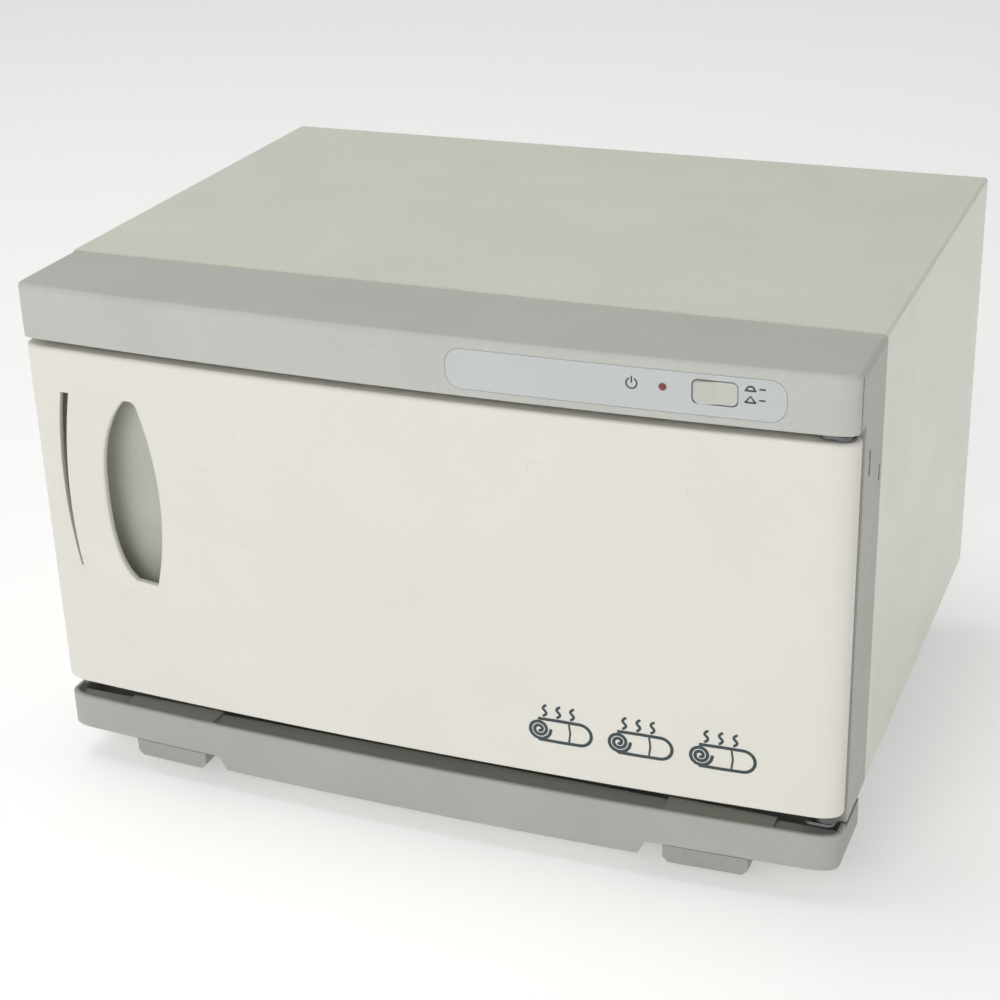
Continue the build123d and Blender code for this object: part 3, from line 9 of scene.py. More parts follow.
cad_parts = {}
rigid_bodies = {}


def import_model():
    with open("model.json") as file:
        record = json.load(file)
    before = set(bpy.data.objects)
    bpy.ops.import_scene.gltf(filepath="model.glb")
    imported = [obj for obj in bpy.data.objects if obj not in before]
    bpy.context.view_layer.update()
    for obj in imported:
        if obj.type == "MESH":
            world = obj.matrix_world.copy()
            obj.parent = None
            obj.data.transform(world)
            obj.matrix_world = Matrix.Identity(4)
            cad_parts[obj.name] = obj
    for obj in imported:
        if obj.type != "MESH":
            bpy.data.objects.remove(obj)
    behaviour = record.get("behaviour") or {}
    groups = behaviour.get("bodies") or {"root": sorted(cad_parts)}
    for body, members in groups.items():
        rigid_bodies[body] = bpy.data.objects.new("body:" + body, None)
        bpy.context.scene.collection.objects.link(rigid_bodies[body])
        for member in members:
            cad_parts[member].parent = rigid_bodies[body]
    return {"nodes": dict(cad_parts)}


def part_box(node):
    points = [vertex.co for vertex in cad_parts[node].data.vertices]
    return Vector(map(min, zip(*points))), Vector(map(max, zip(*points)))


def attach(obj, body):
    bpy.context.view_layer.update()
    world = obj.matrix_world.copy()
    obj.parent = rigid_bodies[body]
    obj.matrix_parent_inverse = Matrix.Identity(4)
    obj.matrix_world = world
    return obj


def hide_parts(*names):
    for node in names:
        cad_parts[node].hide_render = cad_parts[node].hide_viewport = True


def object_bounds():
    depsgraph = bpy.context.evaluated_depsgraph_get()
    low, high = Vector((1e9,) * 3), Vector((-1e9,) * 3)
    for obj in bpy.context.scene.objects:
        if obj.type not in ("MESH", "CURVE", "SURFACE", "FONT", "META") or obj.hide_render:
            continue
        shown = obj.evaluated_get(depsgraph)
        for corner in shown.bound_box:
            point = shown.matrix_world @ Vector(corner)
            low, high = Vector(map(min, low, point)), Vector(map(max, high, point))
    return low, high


for leftover in list(bpy.data.objects):
    bpy.data.objects.remove(leftover, do_unlink=True)

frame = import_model()
cad_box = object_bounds()

MM = 0.001
CROWN = 7 * MM                                    # the front's middle stands this far ahead of its ends
HALF_WIDTH = cad_box[1].x
FRONT_Y = cad_box[0].y
CROWN_RADIUS = (HALF_WIDTH**2 + CROWN**2) / (2 * CROWN)


# ---------------------------------------------------------------- materials

FLAT, SHARP = 0.98, 0.86         # cosine between the rounded and the true normal, off and on an edge
CLOUD = 0.06                     # sizes of a finish's features, in metres
UNEVEN_GLOSS = 0.03
RUBBING = 0.011
SPANGLE = 0.009


class Graph:
    """A material's node tree, built one node at a time from socket values and links."""

    def __init__(self, name):
        self.material = bpy.data.materials.new(name)
        self.material.use_nodes = True
        self.tree = self.material.node_tree
        self.tree.nodes.clear()
        self.seed = random.Random(name)
        self.shader = self.add("BsdfPrincipled")
        output = self.add("OutputMaterial")
        self.tree.links.new(self.shader.outputs[0], output.inputs["Surface"])
        self.coords = self.add("TexCoord").outputs["Object"]

    def add(self, kind, settings=None, **sockets):
        node = self.tree.nodes.new("ShaderNode" + kind)
        for key, value in (settings or {}).items():
            setattr(node, key, value)
        for key, value in sockets.items():
            self.put(node.inputs[key.replace("_", " ")], value)
        return node

    def put(self, socket, value):
        if isinstance(value, bpy.types.NodeSocket):
            self.tree.links.new(value, socket)
        else:
            socket.default_value = value

    def place(self, scale=(1, 1, 1)):
        """Object coordinates, shifted by the material's own seed."""
        shift = [self.seed.uniform(-5, 5) for _ in range(3)]
        return self.add("Mapping", Vector=self.coords, Location=shift, Scale=scale).outputs[0]

    def noise(self, size, detail=2.0, rough=0.5, stretch=(1, 1, 1), distortion=0.0):
        """Noise with features of about the given size in metres, from 0 to 1."""
        made = self.add("TexNoise", Vector=self.place(stretch), Scale=1 / size, Detail=detail,
                        Roughness=rough, Distortion=distortion)
        return made.outputs["Fac"]

    def cells(self, size, stretch=(1, 1, 1)):
        """A random grey for each cell of the given size."""
        made = self.add("TexVoronoi", Vector=self.place(stretch), Scale=1 / size)
        return self.add("SeparateColor", Color=made.outputs["Color"]).outputs["Red"]

    def span(self, value, low, high, to_low=0.0, to_high=1.0):
        made = self.add("MapRange", Value=value, From_Min=low, From_Max=high, To_Min=to_low, To_Max=to_high)
        return made.outputs[0]

    def maths(self, operation, first, second):
        made = self.add("Math", {"operation": operation})
        self.put(made.inputs[0], first)
        self.put(made.inputs[1], second)
        return made.outputs[0]

    def blend(self, factor, first, second, mode="MIX"):
        made = self.add("Mix", {"data_type": "RGBA", "blend_type": mode})
        self.put(made.inputs[0], factor)
        self.put(made.inputs[6], first)
        self.put(made.inputs[7], second)
        return made.outputs[2]

    def grey(self, value):
        return self.add("CombineColor", Red=value, Green=value, Blue=value).outputs[0]

    def edges(self, radius):
        """1 along edges and creases, 0 on open faces; the rounded normal is kept for the relief."""
        rounded = self.add("Bevel", {"samples": 4}, Radius=radius)
        self.rounded = rounded.outputs[0]
        flat = self.add("NewGeometry")
        close = self.add("VectorMath", {"operation": "DOT_PRODUCT"})
        self.put(close.inputs[0], rounded.outputs[0])
        self.put(close.inputs[1], flat.outputs["Normal"])
        return self.span(close.outputs["Value"], FLAT, SHARP)

    def bump(self, layers):
        """Stacks (height, depth in metres) layers and gives the last normal."""
        normal = self.rounded
        for height, depth in layers:
            normal = self.add("Bump", Height=height, Distance=depth, Strength=1.0, Normal=normal).outputs[0]
        return normal

    def constants(self, values):
        for key, value in values.items():
            self.shader.inputs[key].default_value = value


def shade(colour, factor):
    """A colour made lighter or darker, with its alpha."""
    return tuple(min(1.0, channel * factor) for channel in colour) + (1.0,)


def srgb(red, green, blue):
    """Linear colour of an 8-bit sRGB value."""
    def linear(value):
        part = value / 255
        return part / 12.92 if part <= 0.04045 else ((part + 0.055) / 1.055) ** 2.4
    return linear(red), linear(green), linear(blue)


def surface(name, colour, rough, grain, tone=0.03, speck=0.02, wave=(0.05, 0.00015), wear=0.4,
            wear_colour=None, wear_radius=0.0008, stretch=(1, 1, 1), spangle=0.0, **constants):
    """The general recipe: clouded colour, specks, worn edges, uneven gloss and two layers of relief."""
    graph = Graph(name)
    cloud = graph.span(graph.noise(CLOUD, 3.0), 0.3, 0.7)
    grain_height = graph.noise(grain[0], 3.0, 0.55, stretch)
    mottle = graph.noise(grain[0] * 3, 2.0, 0.5, stretch)
    tint = graph.blend(cloud, shade(colour, 1 - tone), shade(colour, 1 + tone))
    dark = graph.span(mottle, 0.35, 0.65, 1 - speck, 1 + speck)
    tint = graph.blend(1.0, tint, graph.grey(dark), "MULTIPLY")
    if spangle:
        patch = graph.span(graph.cells(SPANGLE), 0.0, 1.0, 1 - spangle, 1 + spangle)
        tint = graph.blend(1.0, tint, graph.grey(patch), "MULTIPLY")
    rubbed = graph.span(graph.noise(RUBBING, 4.0, 0.6), 0.42, 0.62, 0.15, 1.0)
    worn = graph.maths("MULTIPLY", graph.edges(wear_radius), rubbed)
    worn = graph.maths("MULTIPLY", worn, wear)
    tint = graph.blend(worn, tint, shade(wear_colour or colour, 1.0 if wear_colour else 1.12))
    gloss = graph.span(graph.noise(UNEVEN_GLOSS, 4.0, 0.6), 0.3, 0.7, rough[0], rough[1])
    gloss = graph.maths("SUBTRACT", gloss, graph.maths("MULTIPLY", worn, 0.08))
    graph.put(graph.shader.inputs["Base Color"], tint)
    graph.put(graph.shader.inputs["Roughness"], gloss)
    relief = [(graph.noise(wave[0], 1.0), wave[1]), (grain_height, grain[1])]
    graph.put(graph.shader.inputs["Normal"], graph.bump(relief))
    graph.constants({key.replace("_", " "): value for key, value in constants.items()})
    return graph.material


METAL = dict(Metallic=1.0)
CASING = (0.78, 0.775, 0.675)
DOOR = (0.79, 0.77, 0.705)
GREY = (0.50, 0.505, 0.46)
FASCIA = (0.55, 0.55, 0.515)
WHITE_WEAR = (0.93, 0.92, 0.87)

RECIPES = {
    "casing_paint": surface(
        "enamel_cream", CASING, (0.30, 0.40), (0.0011, 0.00003), tone=0.025, speck=0.012,
        wave=(0.09, 0.0004), wear=0.35, wear_colour=WHITE_WEAR, Coat_Weight=0.25,
        Coat_Roughness=0.22,
    ),
    "casing_paint_rear": surface(
        "enamel_cream_rear", (0.78, 0.78, 0.68), (0.34, 0.46), (0.0011, 0.00003), tone=0.03,
        speck=0.015, wave=(0.07, 0.0003), wear=0.35, wear_colour=WHITE_WEAR, Coat_Weight=0.15,
        Coat_Roughness=0.3,
    ),
    "door_plastic": surface(
        "moulded_warm_white", DOOR, (0.27, 0.37), (0.0005, 0.000007), tone=0.018, speck=0.008,
        wave=(0.08, 0.0003), wear=0.5, wear_colour=(0.95, 0.94, 0.9), wear_radius=0.0012,
        Coat_Weight=0.2, Coat_Roughness=0.2,
    ),
    "grey_plastic_fascia": surface(
        "moulded_grey_satin", FASCIA, (0.40, 0.52), (0.0006, 0.00002), tone=0.03, speck=0.02,
        wave=(0.06, 0.0002), wear=0.5, wear_colour=(0.72, 0.72, 0.68), wear_radius=0.0012,
    ),
    "grey_plastic": surface(
        "moulded_grey_textured", GREY, (0.46, 0.58), (0.0007, 0.00004), tone=0.035, speck=0.03,
        wear=0.45, wear_colour=(0.64, 0.64, 0.59),
    ),
    "tray_plastic": surface(
        "moulded_grey_tray", (0.42, 0.425, 0.39), (0.40, 0.54), (0.0007, 0.00003), tone=0.035,
        speck=0.025, wear=0.6, wear_colour=(0.68, 0.69, 0.64), wear_radius=0.0012,
    ),
    "feet_plastic": surface(
        "moulded_grey_feet", (0.36, 0.365, 0.34), (0.50, 0.64), (0.0009, 0.00005), tone=0.05,
        speck=0.04, wear=0.5, wear_colour=(0.55, 0.55, 0.52),
    ),
    "guide_plastic": surface(
        "moulded_grey_guides", (0.36, 0.36, 0.34), (0.45, 0.58), (0.0008, 0.00003), tone=0.04,
    ),
    "pocket_plastic": surface(
        "moulded_grey_white", (0.57, 0.58, 0.51), (0.38, 0.5), (0.0006, 0.00002), tone=0.04,
        speck=0.02, wear=0.4, wear_colour=(0.7, 0.7, 0.64),
    ),
    "ivory_plastic": surface(
        "moulded_ivory", (0.58, 0.58, 0.53), (0.26, 0.38), (0.0005, 0.00001), tone=0.03, speck=0.01,
        wave=(0.02, 0.0001), wear=0.6, wear_colour=(0.8, 0.79, 0.72), wear_radius=0.0005,
        Coat_Weight=0.3, Coat_Roughness=0.18,
    ),
    "label_film": surface(
        "printed_film", (0.565, 0.60, 0.595), (0.30, 0.42), (0.0004, 0.000008), tone=0.02,
        speck=0.012, wave=(0.03, 0.0001), wear=0.3, wear_colour=(0.75, 0.78, 0.78),
        wear_radius=0.0003,
    ),
    "black_plastic": surface(
        "moulded_black", (0.035, 0.036, 0.036), (0.42, 0.56), (0.0007, 0.00002), tone=0.15,
        speck=0.1, wear=0.4, wear_colour=(0.12, 0.12, 0.12), wear_radius=0.0004,
    ),
    "gland_plastic": surface(
        "moulded_black_nylon", (0.03, 0.03, 0.031), (0.46, 0.6), (0.0006, 0.00003), tone=0.18,
        speck=0.12, wear=0.5, wear_colour=(0.12, 0.12, 0.12), wear_radius=0.0005,
    ),
    "thermostat_shell": surface(
        "phenolic_dark", (0.045, 0.035, 0.028), (0.4, 0.55), (0.0006, 0.00002), tone=0.2,
        speck=0.12, wear=0.4, wear_colour=(0.14, 0.12, 0.1), wear_radius=0.0004,
    ),
    "magnet": surface(
        "ferrite_brown", (0.055, 0.048, 0.044), (0.5, 0.68), (0.0004, 0.00003), tone=0.2, speck=0.2,
        wear=0.5, wear_colour=(0.15, 0.14, 0.13), wear_radius=0.0004,
    ),
    # Painted shade: the hinge bushes are coloured near-black so that they read as the shade at the door's
    # hinge corners.
    "bush_plastic": surface(
        "acetal_dark_grey", (0.11, 0.11, 0.108), (0.36, 0.48), (0.0004, 0.00001), tone=0.08,
        wear=0.4, wear_colour=(0.2, 0.2, 0.2), wear_radius=0.0004,
    ),
    "terminal_plastic": surface(
        "nylon_natural", (0.68, 0.67, 0.61), (0.38, 0.5), (0.0005, 0.00002), tone=0.04, wear=0.4,
        wear_colour=(0.8, 0.79, 0.74), wear_radius=0.0005,
    ),
    "fuse_ceramic": surface(
        "glazed_ceramic", (0.74, 0.73, 0.68), (0.14, 0.26), (0.0007, 0.00002), tone=0.04,
        speck=0.03, wear=0.4, wear_colour=(0.6, 0.57, 0.5), wear_radius=0.0004, Coat_Weight=0.6,
        Coat_Roughness=0.08,
    ),
    "wire_sleeve": surface(
        "silicone_sleeve_red", (0.30, 0.035, 0.022), (0.42, 0.58), (0.0006, 0.00003), tone=0.1,
        speck=0.06, wear=0.2, wear_colour=(0.4, 0.08, 0.05), wear_radius=0.0003,
    ),
    "chamber_aluminium": surface(
        "rolled_aluminium", (0.80, 0.81, 0.82), (0.20, 0.34), (0.0008, 0.00001), tone=0.03,
        speck=0.03, wave=(0.12, 0.00015), stretch=(0.03, 1, 1), wear=0.4,
        wear_colour=(0.92, 0.92, 0.93), **METAL,
    ),
    "door_liner": surface(
        "pressed_aluminium", (0.77, 0.77, 0.76), (0.26, 0.40), (0.0009, 0.00001), tone=0.03,
        speck=0.03, wave=(0.12, 0.00015), stretch=(0.04, 1, 1), wear=0.4,
        wear_colour=(0.9, 0.9, 0.9), **METAL,
    ),
    "heater_aluminium": surface(
        "heater_plate_rolled", (0.68, 0.69, 0.70), (0.28, 0.45), (0.0009, 0.00002), tone=0.07,
        speck=0.05, stretch=(1, 0.04, 1), wear=0.4, wear_colour=(0.85, 0.85, 0.85), **METAL,
    ),
    "element_sheath": surface(
        "heat_tinted_sheath", (0.26, 0.21, 0.17), (0.34, 0.52), (0.0006, 0.00002), tone=0.22,
        speck=0.1, wear=0.2, wear_colour=(0.4, 0.38, 0.36), wear_radius=0.0004, **METAL,
    ),
    # Painted shade: the hinge brackets are steel, but are coloured near-black so that they read as the
    # shade beside and under the door.
    "hinge_steel": surface(
        "black_zinc_sheet", (0.17, 0.17, 0.175), (0.34, 0.5), (0.0008, 0.00002), tone=0.06,
        speck=0.05, stretch=(1, 1, 0.05), wear=0.5, wear_colour=(0.36, 0.36, 0.36),
        wear_radius=0.0005, **METAL,
    ),
    # Painted shade: the ground steel pins are coloured darker than bare steel, along with the hinge parts,
    # so that they read as the shade at the door's hinge corners.
    "pin_steel": surface(
        "ground_pin", (0.40, 0.40, 0.41), (0.16, 0.28), (0.0004, 0.00001), tone=0.04, speck=0.04,
        stretch=(1, 1, 4), wear=0.4, wear_colour=(0.8, 0.8, 0.8), wear_radius=0.0003, **METAL,
    ),
    "rack_wire": surface(
        "plated_wire", (0.74, 0.75, 0.77), (0.10, 0.20), (0.0009, 0.00001), tone=0.03, speck=0.03,
        wear=0.3, wear_colour=(0.85, 0.85, 0.86), wear_radius=0.0003, **METAL,
    ),
    "rail_steel": surface(
        "stainless_strip", (0.63, 0.63, 0.62), (0.22, 0.34), (0.0007, 0.00001), tone=0.04,
        speck=0.05, stretch=(1, 0.03, 1), wear=0.5, wear_colour=(0.8, 0.8, 0.79),
        wear_radius=0.0004, **METAL,
    ),
    "screw_steel": surface(
        "zinc_plated_screws", (0.60, 0.60, 0.59), (0.24, 0.38), (0.0004, 0.00001), tone=0.08,
        speck=0.06, wear=0.6, wear_colour=(0.8, 0.8, 0.78), wear_radius=0.0003, **METAL,
    ),
    "spring_steel": surface(
        "spring_strip", (0.42, 0.42, 0.43), (0.26, 0.40), (0.0006, 0.00001), tone=0.08, speck=0.06,
        stretch=(1, 0.05, 1), wear=0.5, wear_colour=(0.7, 0.7, 0.7), wear_radius=0.0004, **METAL,
    ),
    "strike_steel": surface(
        "plated_strip", (0.55, 0.55, 0.56), (0.24, 0.38), (0.0007, 0.00001), tone=0.05, speck=0.05,
        stretch=(1, 1, 0.05), wear=0.5, wear_colour=(0.78, 0.78, 0.78), wear_radius=0.0004, **METAL,
    ),
    "brass_tab": surface(
        "stamped_brass", (0.72, 0.50, 0.22), (0.24, 0.38), (0.0006, 0.00001), tone=0.08, speck=0.06,
        stretch=(1, 0.06, 1), wear=0.5, wear_colour=(0.85, 0.68, 0.4), wear_radius=0.0003, **METAL,
    ),
    "zinc_sheet": surface(
        "galvanised_spangle", (0.55, 0.56, 0.57), (0.36, 0.54), (0.0012, 0.00002), tone=0.05,
        speck=0.05, spangle=0.12, wear=0.5, wear_colour=(0.75, 0.75, 0.75), **METAL,
    ),
    "gasket_rubber": surface(
        "silicone_grey", (0.53, 0.52, 0.47), (0.48, 0.64), (0.0006, 0.00004), tone=0.05, speck=0.04,
        wear=0.3, wear_colour=(0.62, 0.61, 0.56), wear_radius=0.0004, Subsurface_Weight=0.05,
        Subsurface_Radius=(0.001, 0.001, 0.001),
    ),
    "insulation": surface(
        "fibre_blanket", (0.72, 0.65, 0.42), (0.85, 0.97), (0.0011, 0.0006), tone=0.09, speck=0.14,
        wave=(0.02, 0.001), stretch=(0.22, 1, 0.45), wear=0.5, wear_colour=(0.85, 0.8, 0.6),
        wear_radius=0.002, Sheen_Weight=0.35, Sheen_Roughness=0.5,
    ),
    "lamp_lens": surface(
        "lens_red", (0.34, 0.05, 0.03), (0.12, 0.22), (0.0005, 0.00002), tone=0.1, speck=0.05,
        wave=(0.002, 0.00008), wear=0.4, wear_colour=(0.6, 0.2, 0.15), wear_radius=0.0002,
        Transmission_Weight=0.35, Coat_Weight=0.5, Coat_Roughness=0.1,
    ),
}

for node in frame["nodes"].values():
    for place in node.material_slots:
        place.material = RECIPES[place.material.name.split(".")[0]]

INK = surface(
    "print_ink_dark", srgb(52, 68, 72), (0.34, 0.46), (0.0004, 0.000008), tone=0.1, speck=0.08,
    wear=0.35, wear_colour=srgb(96, 108, 108), wear_radius=0.0003,
)


# ---------------------------------------------------------------- helpers for new pieces

def make_piece(name, mesh, body, material):
    """A new visible piece that rides on a body, with the given material."""
    piece = bpy.data.objects.new(name, mesh)
    bpy.context.scene.collection.objects.link(piece)
    mesh.materials.clear()
    mesh.materials.append(material)
    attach(piece, body)
    return piece


def crown_y(x):
    """The crowned front surface, in plan."""
    return FRONT_Y + CROWN_RADIUS - math.sqrt(CROWN_RADIUS**2 - x**2)


def arc(centre, radius, start, end, steps):
    """Points of an arc in degrees, as (x, z)."""
    found = []
    for step in range(steps + 1):
        angle = math.radians(start + (end - start) * step / steps)
        found.append((centre[0] + radius * math.cos(angle), centre[1] + radius * math.sin(angle)))
    return found


def stroke_outline(line, width):
    """Left and right edge points of a pen stroke along a line."""
    left, right = [], []
    last = len(line) - 1
    for index, point in enumerate(line):
        before = line[max(index - 1, 0)]
        after = line[min(index + 1, last)]
        along = Vector((after[0] - before[0], after[1] - before[1])).normalized()
        side = Vector((-along.y, along.x)) * width / 2
        left.append((point[0] + side.x, point[1] + side.y))
        right.append((point[0] - side.x, point[1] - side.y))
    return left, right


CAP_TURNS = (30, 60, 85)         # degrees round a stroke's end at which its soft cap has points


def round_ends(line, width):
    """Adds short end points, so that a stroke ends in a soft cap."""
    def cap(tip, inner):
        along = (Vector(tip) - Vector(inner)).normalized()
        reach = [math.sin(math.radians(turn)) for turn in CAP_TURNS]
        return [tuple(Vector(tip) + along * width / 2 * part) for part in reach]
    return cap(line[0], line[1])[::-1] + list(line) + cap(line[-1], line[-2])


def join_rows(mesh, pairs):
    """Faces between each pair of rows, around closed rows of equal length."""
    for before, after in pairs:
        for index in range(len(before)):
            other = (index + 1) % len(before)
            mesh.faces.new((before[index], before[other], after[other], after[index]))


def finished(mesh, name):
    """The named mesh of a bmesh, with its faces turned outwards."""
    bmesh.ops.recalc_face_normals(mesh, faces=mesh.faces)
    made = bpy.data.meshes.new(name)
    mesh.to_mesh(made)
    mesh.free()
    return made


def add_stroke(mesh, line, width, proud, depth):
    """One pen stroke, laid on the crowned front: proud of it by a film's thickness."""
    full = round_ends(line, width)
    left, right = stroke_outline(full, width)
    caps = [math.cos(math.radians(turn)) for turn in CAP_TURNS[::-1]]
    narrow = caps + [1.0] * len(line) + caps[::-1]
    rows = []
    for a, b, keep in zip(left, right, narrow):
        middle = ((a[0] + b[0]) / 2, (a[1] + b[1]) / 2)
        row = []
        for lift, point in ((depth, a), (-proud, a), (-proud, b), (depth, b)):
            x = middle[0] + (point[0] - middle[0]) * keep
            z = middle[1] + (point[1] - middle[1]) * keep
            row.append(mesh.verts.new((x, crown_y(x) + lift, z)))
        rows.append(row)
    join_rows(mesh, zip(rows, rows[1:]))
    mesh.faces.new(rows[0][::-1])
    mesh.faces.new(rows[-1])


def printed(name, strokes, body, proud, depth):
    """A print made of pen strokes, as one piece."""
    mesh = bmesh.new()
    for line, width in strokes:
        add_stroke(mesh, line, width, proud, depth)
    return make_piece(name, finished(mesh, name), body, INK)


# ---------------------------------------------------------------- prints

SPIRAL_STEPS = 34
WAVE_STEPS = 14


def towel_mark(x, z, size):
    """A rolled towel seen end on, with its roll running off to the right and warm air above it.

    The numbers are shares of the mark's size, and angles in degrees.
    """
    radius = 0.30 * size
    centre = (x + radius, z + radius)
    spiral = []
    for step in range(SPIRAL_STEPS + 1):
        share = step / SPIRAL_STEPS
        angle = math.radians(-80 + 800 * share)
        reach = radius * (0.16 + 0.84 * share)
        spiral.append((centre[0] + reach * math.cos(angle), centre[1] + reach * math.sin(angle)))
    body_end = x + 1.36 * size
    middle = (centre[0] + body_end) / 2
    top = [(centre[0], z + 2 * radius), (middle, z + 2.02 * radius), (body_end, z + 2 * radius)]
    base = [(centre[0], z), (middle, z - 0.02 * radius), (body_end, z)]
    closing = arc((body_end, centre[1]), radius, 90, -90, WAVE_STEPS)
    hem_x = x + 1.08 * size
    hem = [(hem_x, z + 0.06 * size), (x + 1.11 * size, z + radius), (hem_x, z + 0.54 * size)]
    strokes = [(line, 0.085 * size) for line in (spiral, top, base, closing)]
    strokes.append((hem, 0.05 * size))
    for number in range(3):
        start = x + (0.42 + 0.36 * number) * size
        wave = []
        for step in range(WAVE_STEPS + 1):
            share = step / WAVE_STEPS
            sway = 0.055 * size * math.sin(2 * math.pi * share)
            wave.append((start + sway + 0.05 * size * share, z + (0.70 + 0.30 * share) * size))
        strokes.append((wave, 0.07 * size))
    return strokes


def dash(x, z, reach, sag=0.0):
    """A short level line about x, with its middle lowered by the sag."""
    return [(x - reach, z), (x, z - sag), (x + reach, z)]


PRINT_X = 62.5 * MM
PRINT_Z = 73.2 * MM
PRINT_PITCH = 42.6 * MM
PRINT_SIZE = 20.6 * MM
PRINT_COUNT = 3
door_print = []
for number in range(PRINT_COUNT):
    door_print += towel_mark(PRINT_X + PRINT_PITCH * number, PRINT_Z, PRINT_SIZE)
printed("door_pictogram", door_print, "door", 0.10 * MM, 0.05 * MM)

# A power symbol beside the lamp, then a dome and a triangle, each with a dash, beside the rocker.
POWER = (118.4 * MM, 276.0 * MM)
MARK_X = 175.0 * MM
MARK_REACH = 2.4 * MM
MARK_SAG = 0.1 * MM
DASH_X = 180.6 * MM
FINE_PEN, PEN, BOLD_PEN = 0.75 * MM, 0.8 * MM, 0.9 * MM
label_print = [
    (arc(POWER, 2.6 * MM, 125, 415, 24), FINE_PEN),
    ([(POWER[0], POWER[1] + up * MM) for up in (0.5, 1.9, 3.3)], FINE_PEN),
    (arc((MARK_X, 278.2 * MM), 1.9 * MM, 0, 180, 12), BOLD_PEN),
    (dash(MARK_X, 278.0 * MM, MARK_REACH, MARK_SAG), BOLD_PEN),
    ([(MARK_X - 2.1 * MM, 272.6 * MM), (MARK_X, 275.2 * MM), (MARK_X + 2.1 * MM, 272.6 * MM)], BOLD_PEN),
    (dash(MARK_X, 272.2 * MM, MARK_REACH, MARK_SAG), BOLD_PEN),
    (dash(DASH_X, 279.0 * MM, 1.2 * MM), PEN),
    (dash(DASH_X, 273.6 * MM, 1.2 * MM), PEN),
]
printed("label_marks", label_print, "cabinet", 0.05 * MM, 0.03 * MM)


# ---------------------------------------------------------------- soft pieces

def ring_path(x, z_low, z_high, radius, steps):
    """A closed rounded rectangle in XZ, with its outward directions."""
    found = []
    corners = (
        (x - radius, z_low + radius, -90),
        (x - radius, z_high - radius, 0),
        (-x + radius, z_high - radius, 90),
        (-x + radius, z_low + radius, 180),
    )
    for centre_x, centre_z, start in corners:
        for step in range(steps + 1):
            angle = math.radians(start + 90 * step / steps)
            way = (math.cos(angle), math.sin(angle))
            found.append(((centre_x + radius * way[0], centre_z + radius * way[1]), way))
    return found


SEAL_LIP = ((0.2, 1.05), (0.5, 1.5), (0.9, 1.66), (1.3, 1.55), (1.75, 1.15), (1.98, 0.55), (1.9, 0.0))
SEAL_VALLEY = (0.0, 0.9)
SEAL_INSET = (2.2 * MM, 2.1 * MM)                 # from the CAD gasket's edges to the seal's middle line
SEAL_CORNER = 4.5 * MM
SEAL_STEPS = 10


def gasket():
    """A two-lipped extruded seal, carried round the door's liner."""
    low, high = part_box("door_gasket")
    profile = [(-across, out) for across, out in SEAL_LIP[::-1]] + [SEAL_VALLEY] + list(SEAL_LIP)
    x = high.x - SEAL_INSET[0]
    z = (low.z + SEAL_INSET[1], high.z - SEAL_INSET[1])
    mesh = bmesh.new()
    rows = []
    for point, way in ring_path(x, *z, SEAL_CORNER, SEAL_STEPS):
        row = []
        for across, out in profile:
            place = (point[0] + way[0] * across * MM, low.y + out * MM, point[1] + way[1] * across * MM)
            row.append(mesh.verts.new(place))
        rows.append(row)
    join_rows(mesh, zip(rows, rows[1:] + rows[:1]))
    for face in mesh.faces:
        face.smooth = True
    made = finished(mesh, "door_seal")
    piece = make_piece("door_seal", made, "door", RECIPES["gasket_rubber"])
    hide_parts("door_gasket")


TUFTS, FIBRES = 45, 260          # features per metre in the face of a fibre batt


def fibre_pad(name, node, body, voxel, shrink):
    """A fibre batt: the space of its CAD solid, remeshed, softened and given a tufted, pulled-in face."""
    mesh = frame["nodes"][node].data.copy()
    mesh.name = name
    piece = make_piece(name, mesh, body, RECIPES["insulation"])
    piece.modifiers.new("remesh", "REMESH").voxel_size = voxel
    relax = piece.modifiers.new("relax", "SMOOTH")
    relax.iterations = 4
    relax.factor = 0.5
    view = bpy.context.evaluated_depsgraph_get()
    made = bpy.data.meshes.new_from_object(piece.evaluated_get(view))
    piece.modifiers.clear()
    normals = [vertex.normal.copy() for vertex in made.vertices]
    for vertex, normal in zip(made.vertices, normals):
        coarse = noise.fractal(vertex.co * TUFTS, 1.0, 2.0, 3)
        fine = noise.noise(vertex.co * FIBRES)
        pull = 0.55 + 0.35 * coarse + 0.2 * fine
        vertex.co -= normal * shrink * min(max(pull, 0.1), 1.0)
    for polygon in made.polygons:
        polygon.use_smooth = True
    made.materials.clear()
    made.materials.append(RECIPES["insulation"])
    piece.data = made
    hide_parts(node)


gasket()
fibre_pad("chamber_blanket", "insulation_blanket", "cabinet", 0.005, 0.0014)
fibre_pad("door_batt", "door_insulation", "door", 0.0035, 0.0012)


# ---------------------------------------------------------------- floor, light and camera

FLOOR_RADIUS = 14.0
FLOOR_GLOW = 0.30
CENTRE = Vector((0.0, -0.05, 0.15))               # the point that both lamps face
SKY_HEIGHTS = (0.05, 0.7)
SKY_STRENGTHS = (0.48, 0.35)                      # brighter towards the horizon
SKY_COLOUR = (1.0, 1.0, 0.985, 1.0)


def floor():
    """A wide pale floor that glows a little, so that it runs out to white."""
    mesh = bmesh.new()
    bmesh.ops.create_circle(mesh, cap_ends=True, segments=96, radius=FLOOR_RADIUS)
    made = bpy.data.meshes.new("floor")
    mesh.to_mesh(made)
    mesh.free()
    piece = bpy.data.objects.new("floor", made)
    bpy.context.scene.collection.objects.link(piece)
    made.materials.append(surface(
        "floor_pale", (0.92, 0.92, 0.915), (0.6, 0.7), (0.004, 0.00002), tone=0.004, speck=0.003,
        wear=0.0, Emission_Color=(1, 1, 1, 1), Emission_Strength=FLOOR_GLOW,
    ))


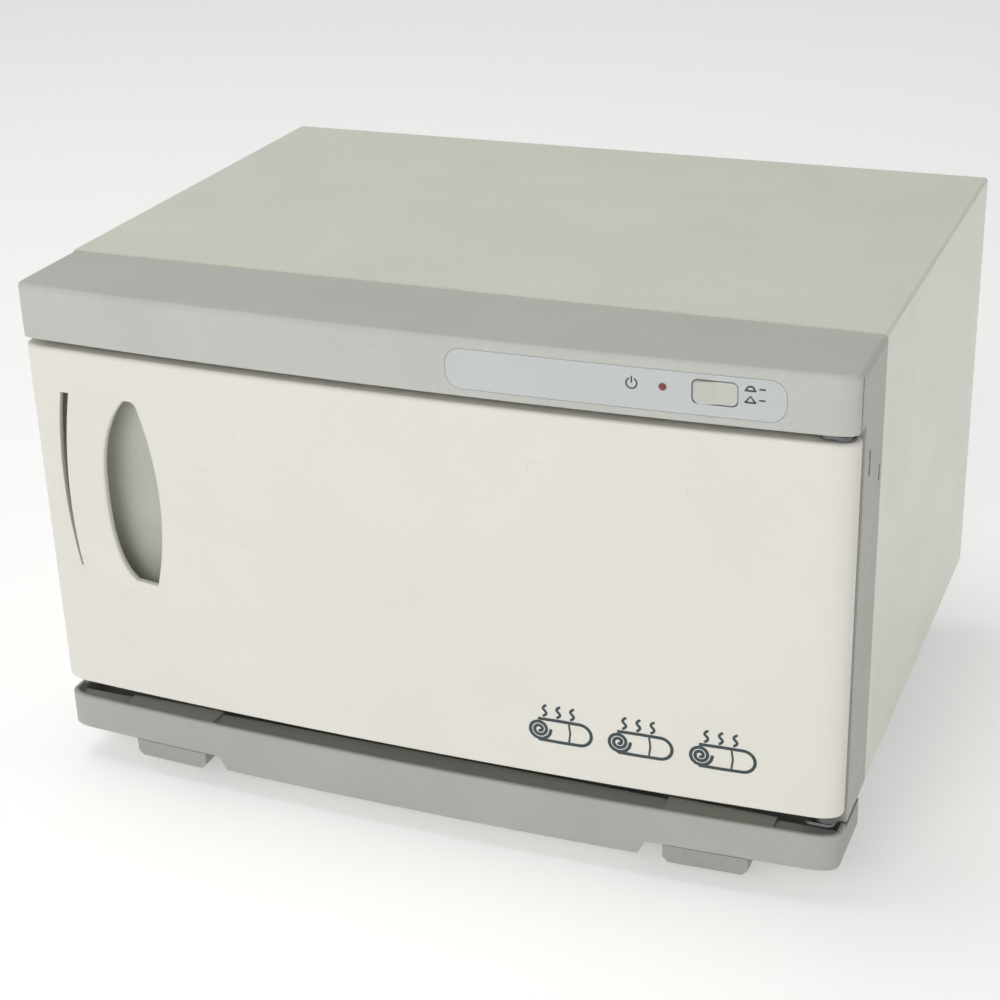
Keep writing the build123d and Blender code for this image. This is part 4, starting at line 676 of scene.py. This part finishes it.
def area_light(name, place, size, power):
    data = bpy.data.lights.new(name, "AREA")
    data.shape = "DISK"
    data.size = size
    data.energy = power
    lamp = bpy.data.objects.new(name, data)
    lamp.location = place
    lamp.rotation_euler = (CENTRE - Vector(place)).to_track_quat("-Z", "Y").to_euler()
    bpy.context.scene.collection.objects.link(lamp)


def studio():
    """A white surround that fades upwards, a large lamp in front and another above on the left."""
    world = bpy.data.worlds.new("studio")
    world.use_nodes = True
    nodes, links = world.node_tree.nodes, world.node_tree.links
    background = nodes["Background"]
    split = nodes.new("ShaderNodeSeparateXYZ")
    links.new(nodes.new("ShaderNodeTexCoord").outputs["Generated"], split.inputs[0])
    fade = nodes.new("ShaderNodeMapRange")
    fade.inputs["From Min"].default_value, fade.inputs["From Max"].default_value = SKY_HEIGHTS
    fade.inputs["To Min"].default_value, fade.inputs["To Max"].default_value = SKY_STRENGTHS
    links.new(split.outputs["Z"], fade.inputs["Value"])
    links.new(fade.outputs[0], background.inputs["Strength"])
    background.inputs["Color"].default_value = SKY_COLOUR
    bpy.context.scene.world = world
    area_light("key", place=(-0.15, -2.35, 1.25), size=1.8, power=18.5)
    area_light("top", place=(-0.7, 0.0, 2.6), size=2.0, power=19.0)


CAMERA_PLACE = Vector((0.3996, -1.0086, 0.6267))
CAMERA_LENS = 73.27
YAW, PITCH, ROLL = -0.394, 0.433, -0.032          # radians: to the left, downwards, and about the view
SENSOR = 36.0


def camera():
    """The product view: from the front and a little above, with the right side showing."""
    forward = Vector((math.sin(YAW) * math.cos(PITCH), math.cos(YAW) * math.cos(PITCH), -math.sin(PITCH)))
    level = Vector((math.cos(YAW), -math.sin(YAW), 0.0))
    above = level.cross(forward)
    right = level * math.cos(ROLL) + above * math.sin(ROLL)
    up = above * math.cos(ROLL) - level * math.sin(ROLL)
    data = bpy.data.cameras.new("camera")
    data.lens = CAMERA_LENS
    data.sensor_width = SENSOR
    view = bpy.data.objects.new("camera", data)
    turn = Matrix((right, up, -forward)).transposed()
    view.matrix_world = Matrix.Translation(CAMERA_PLACE) @ turn.to_4x4()
    bpy.context.scene.collection.objects.link(view)
    bpy.context.scene.camera = view


floor()
studio()
camera()
bpy.context.scene.view_settings.view_transform = "Standard"
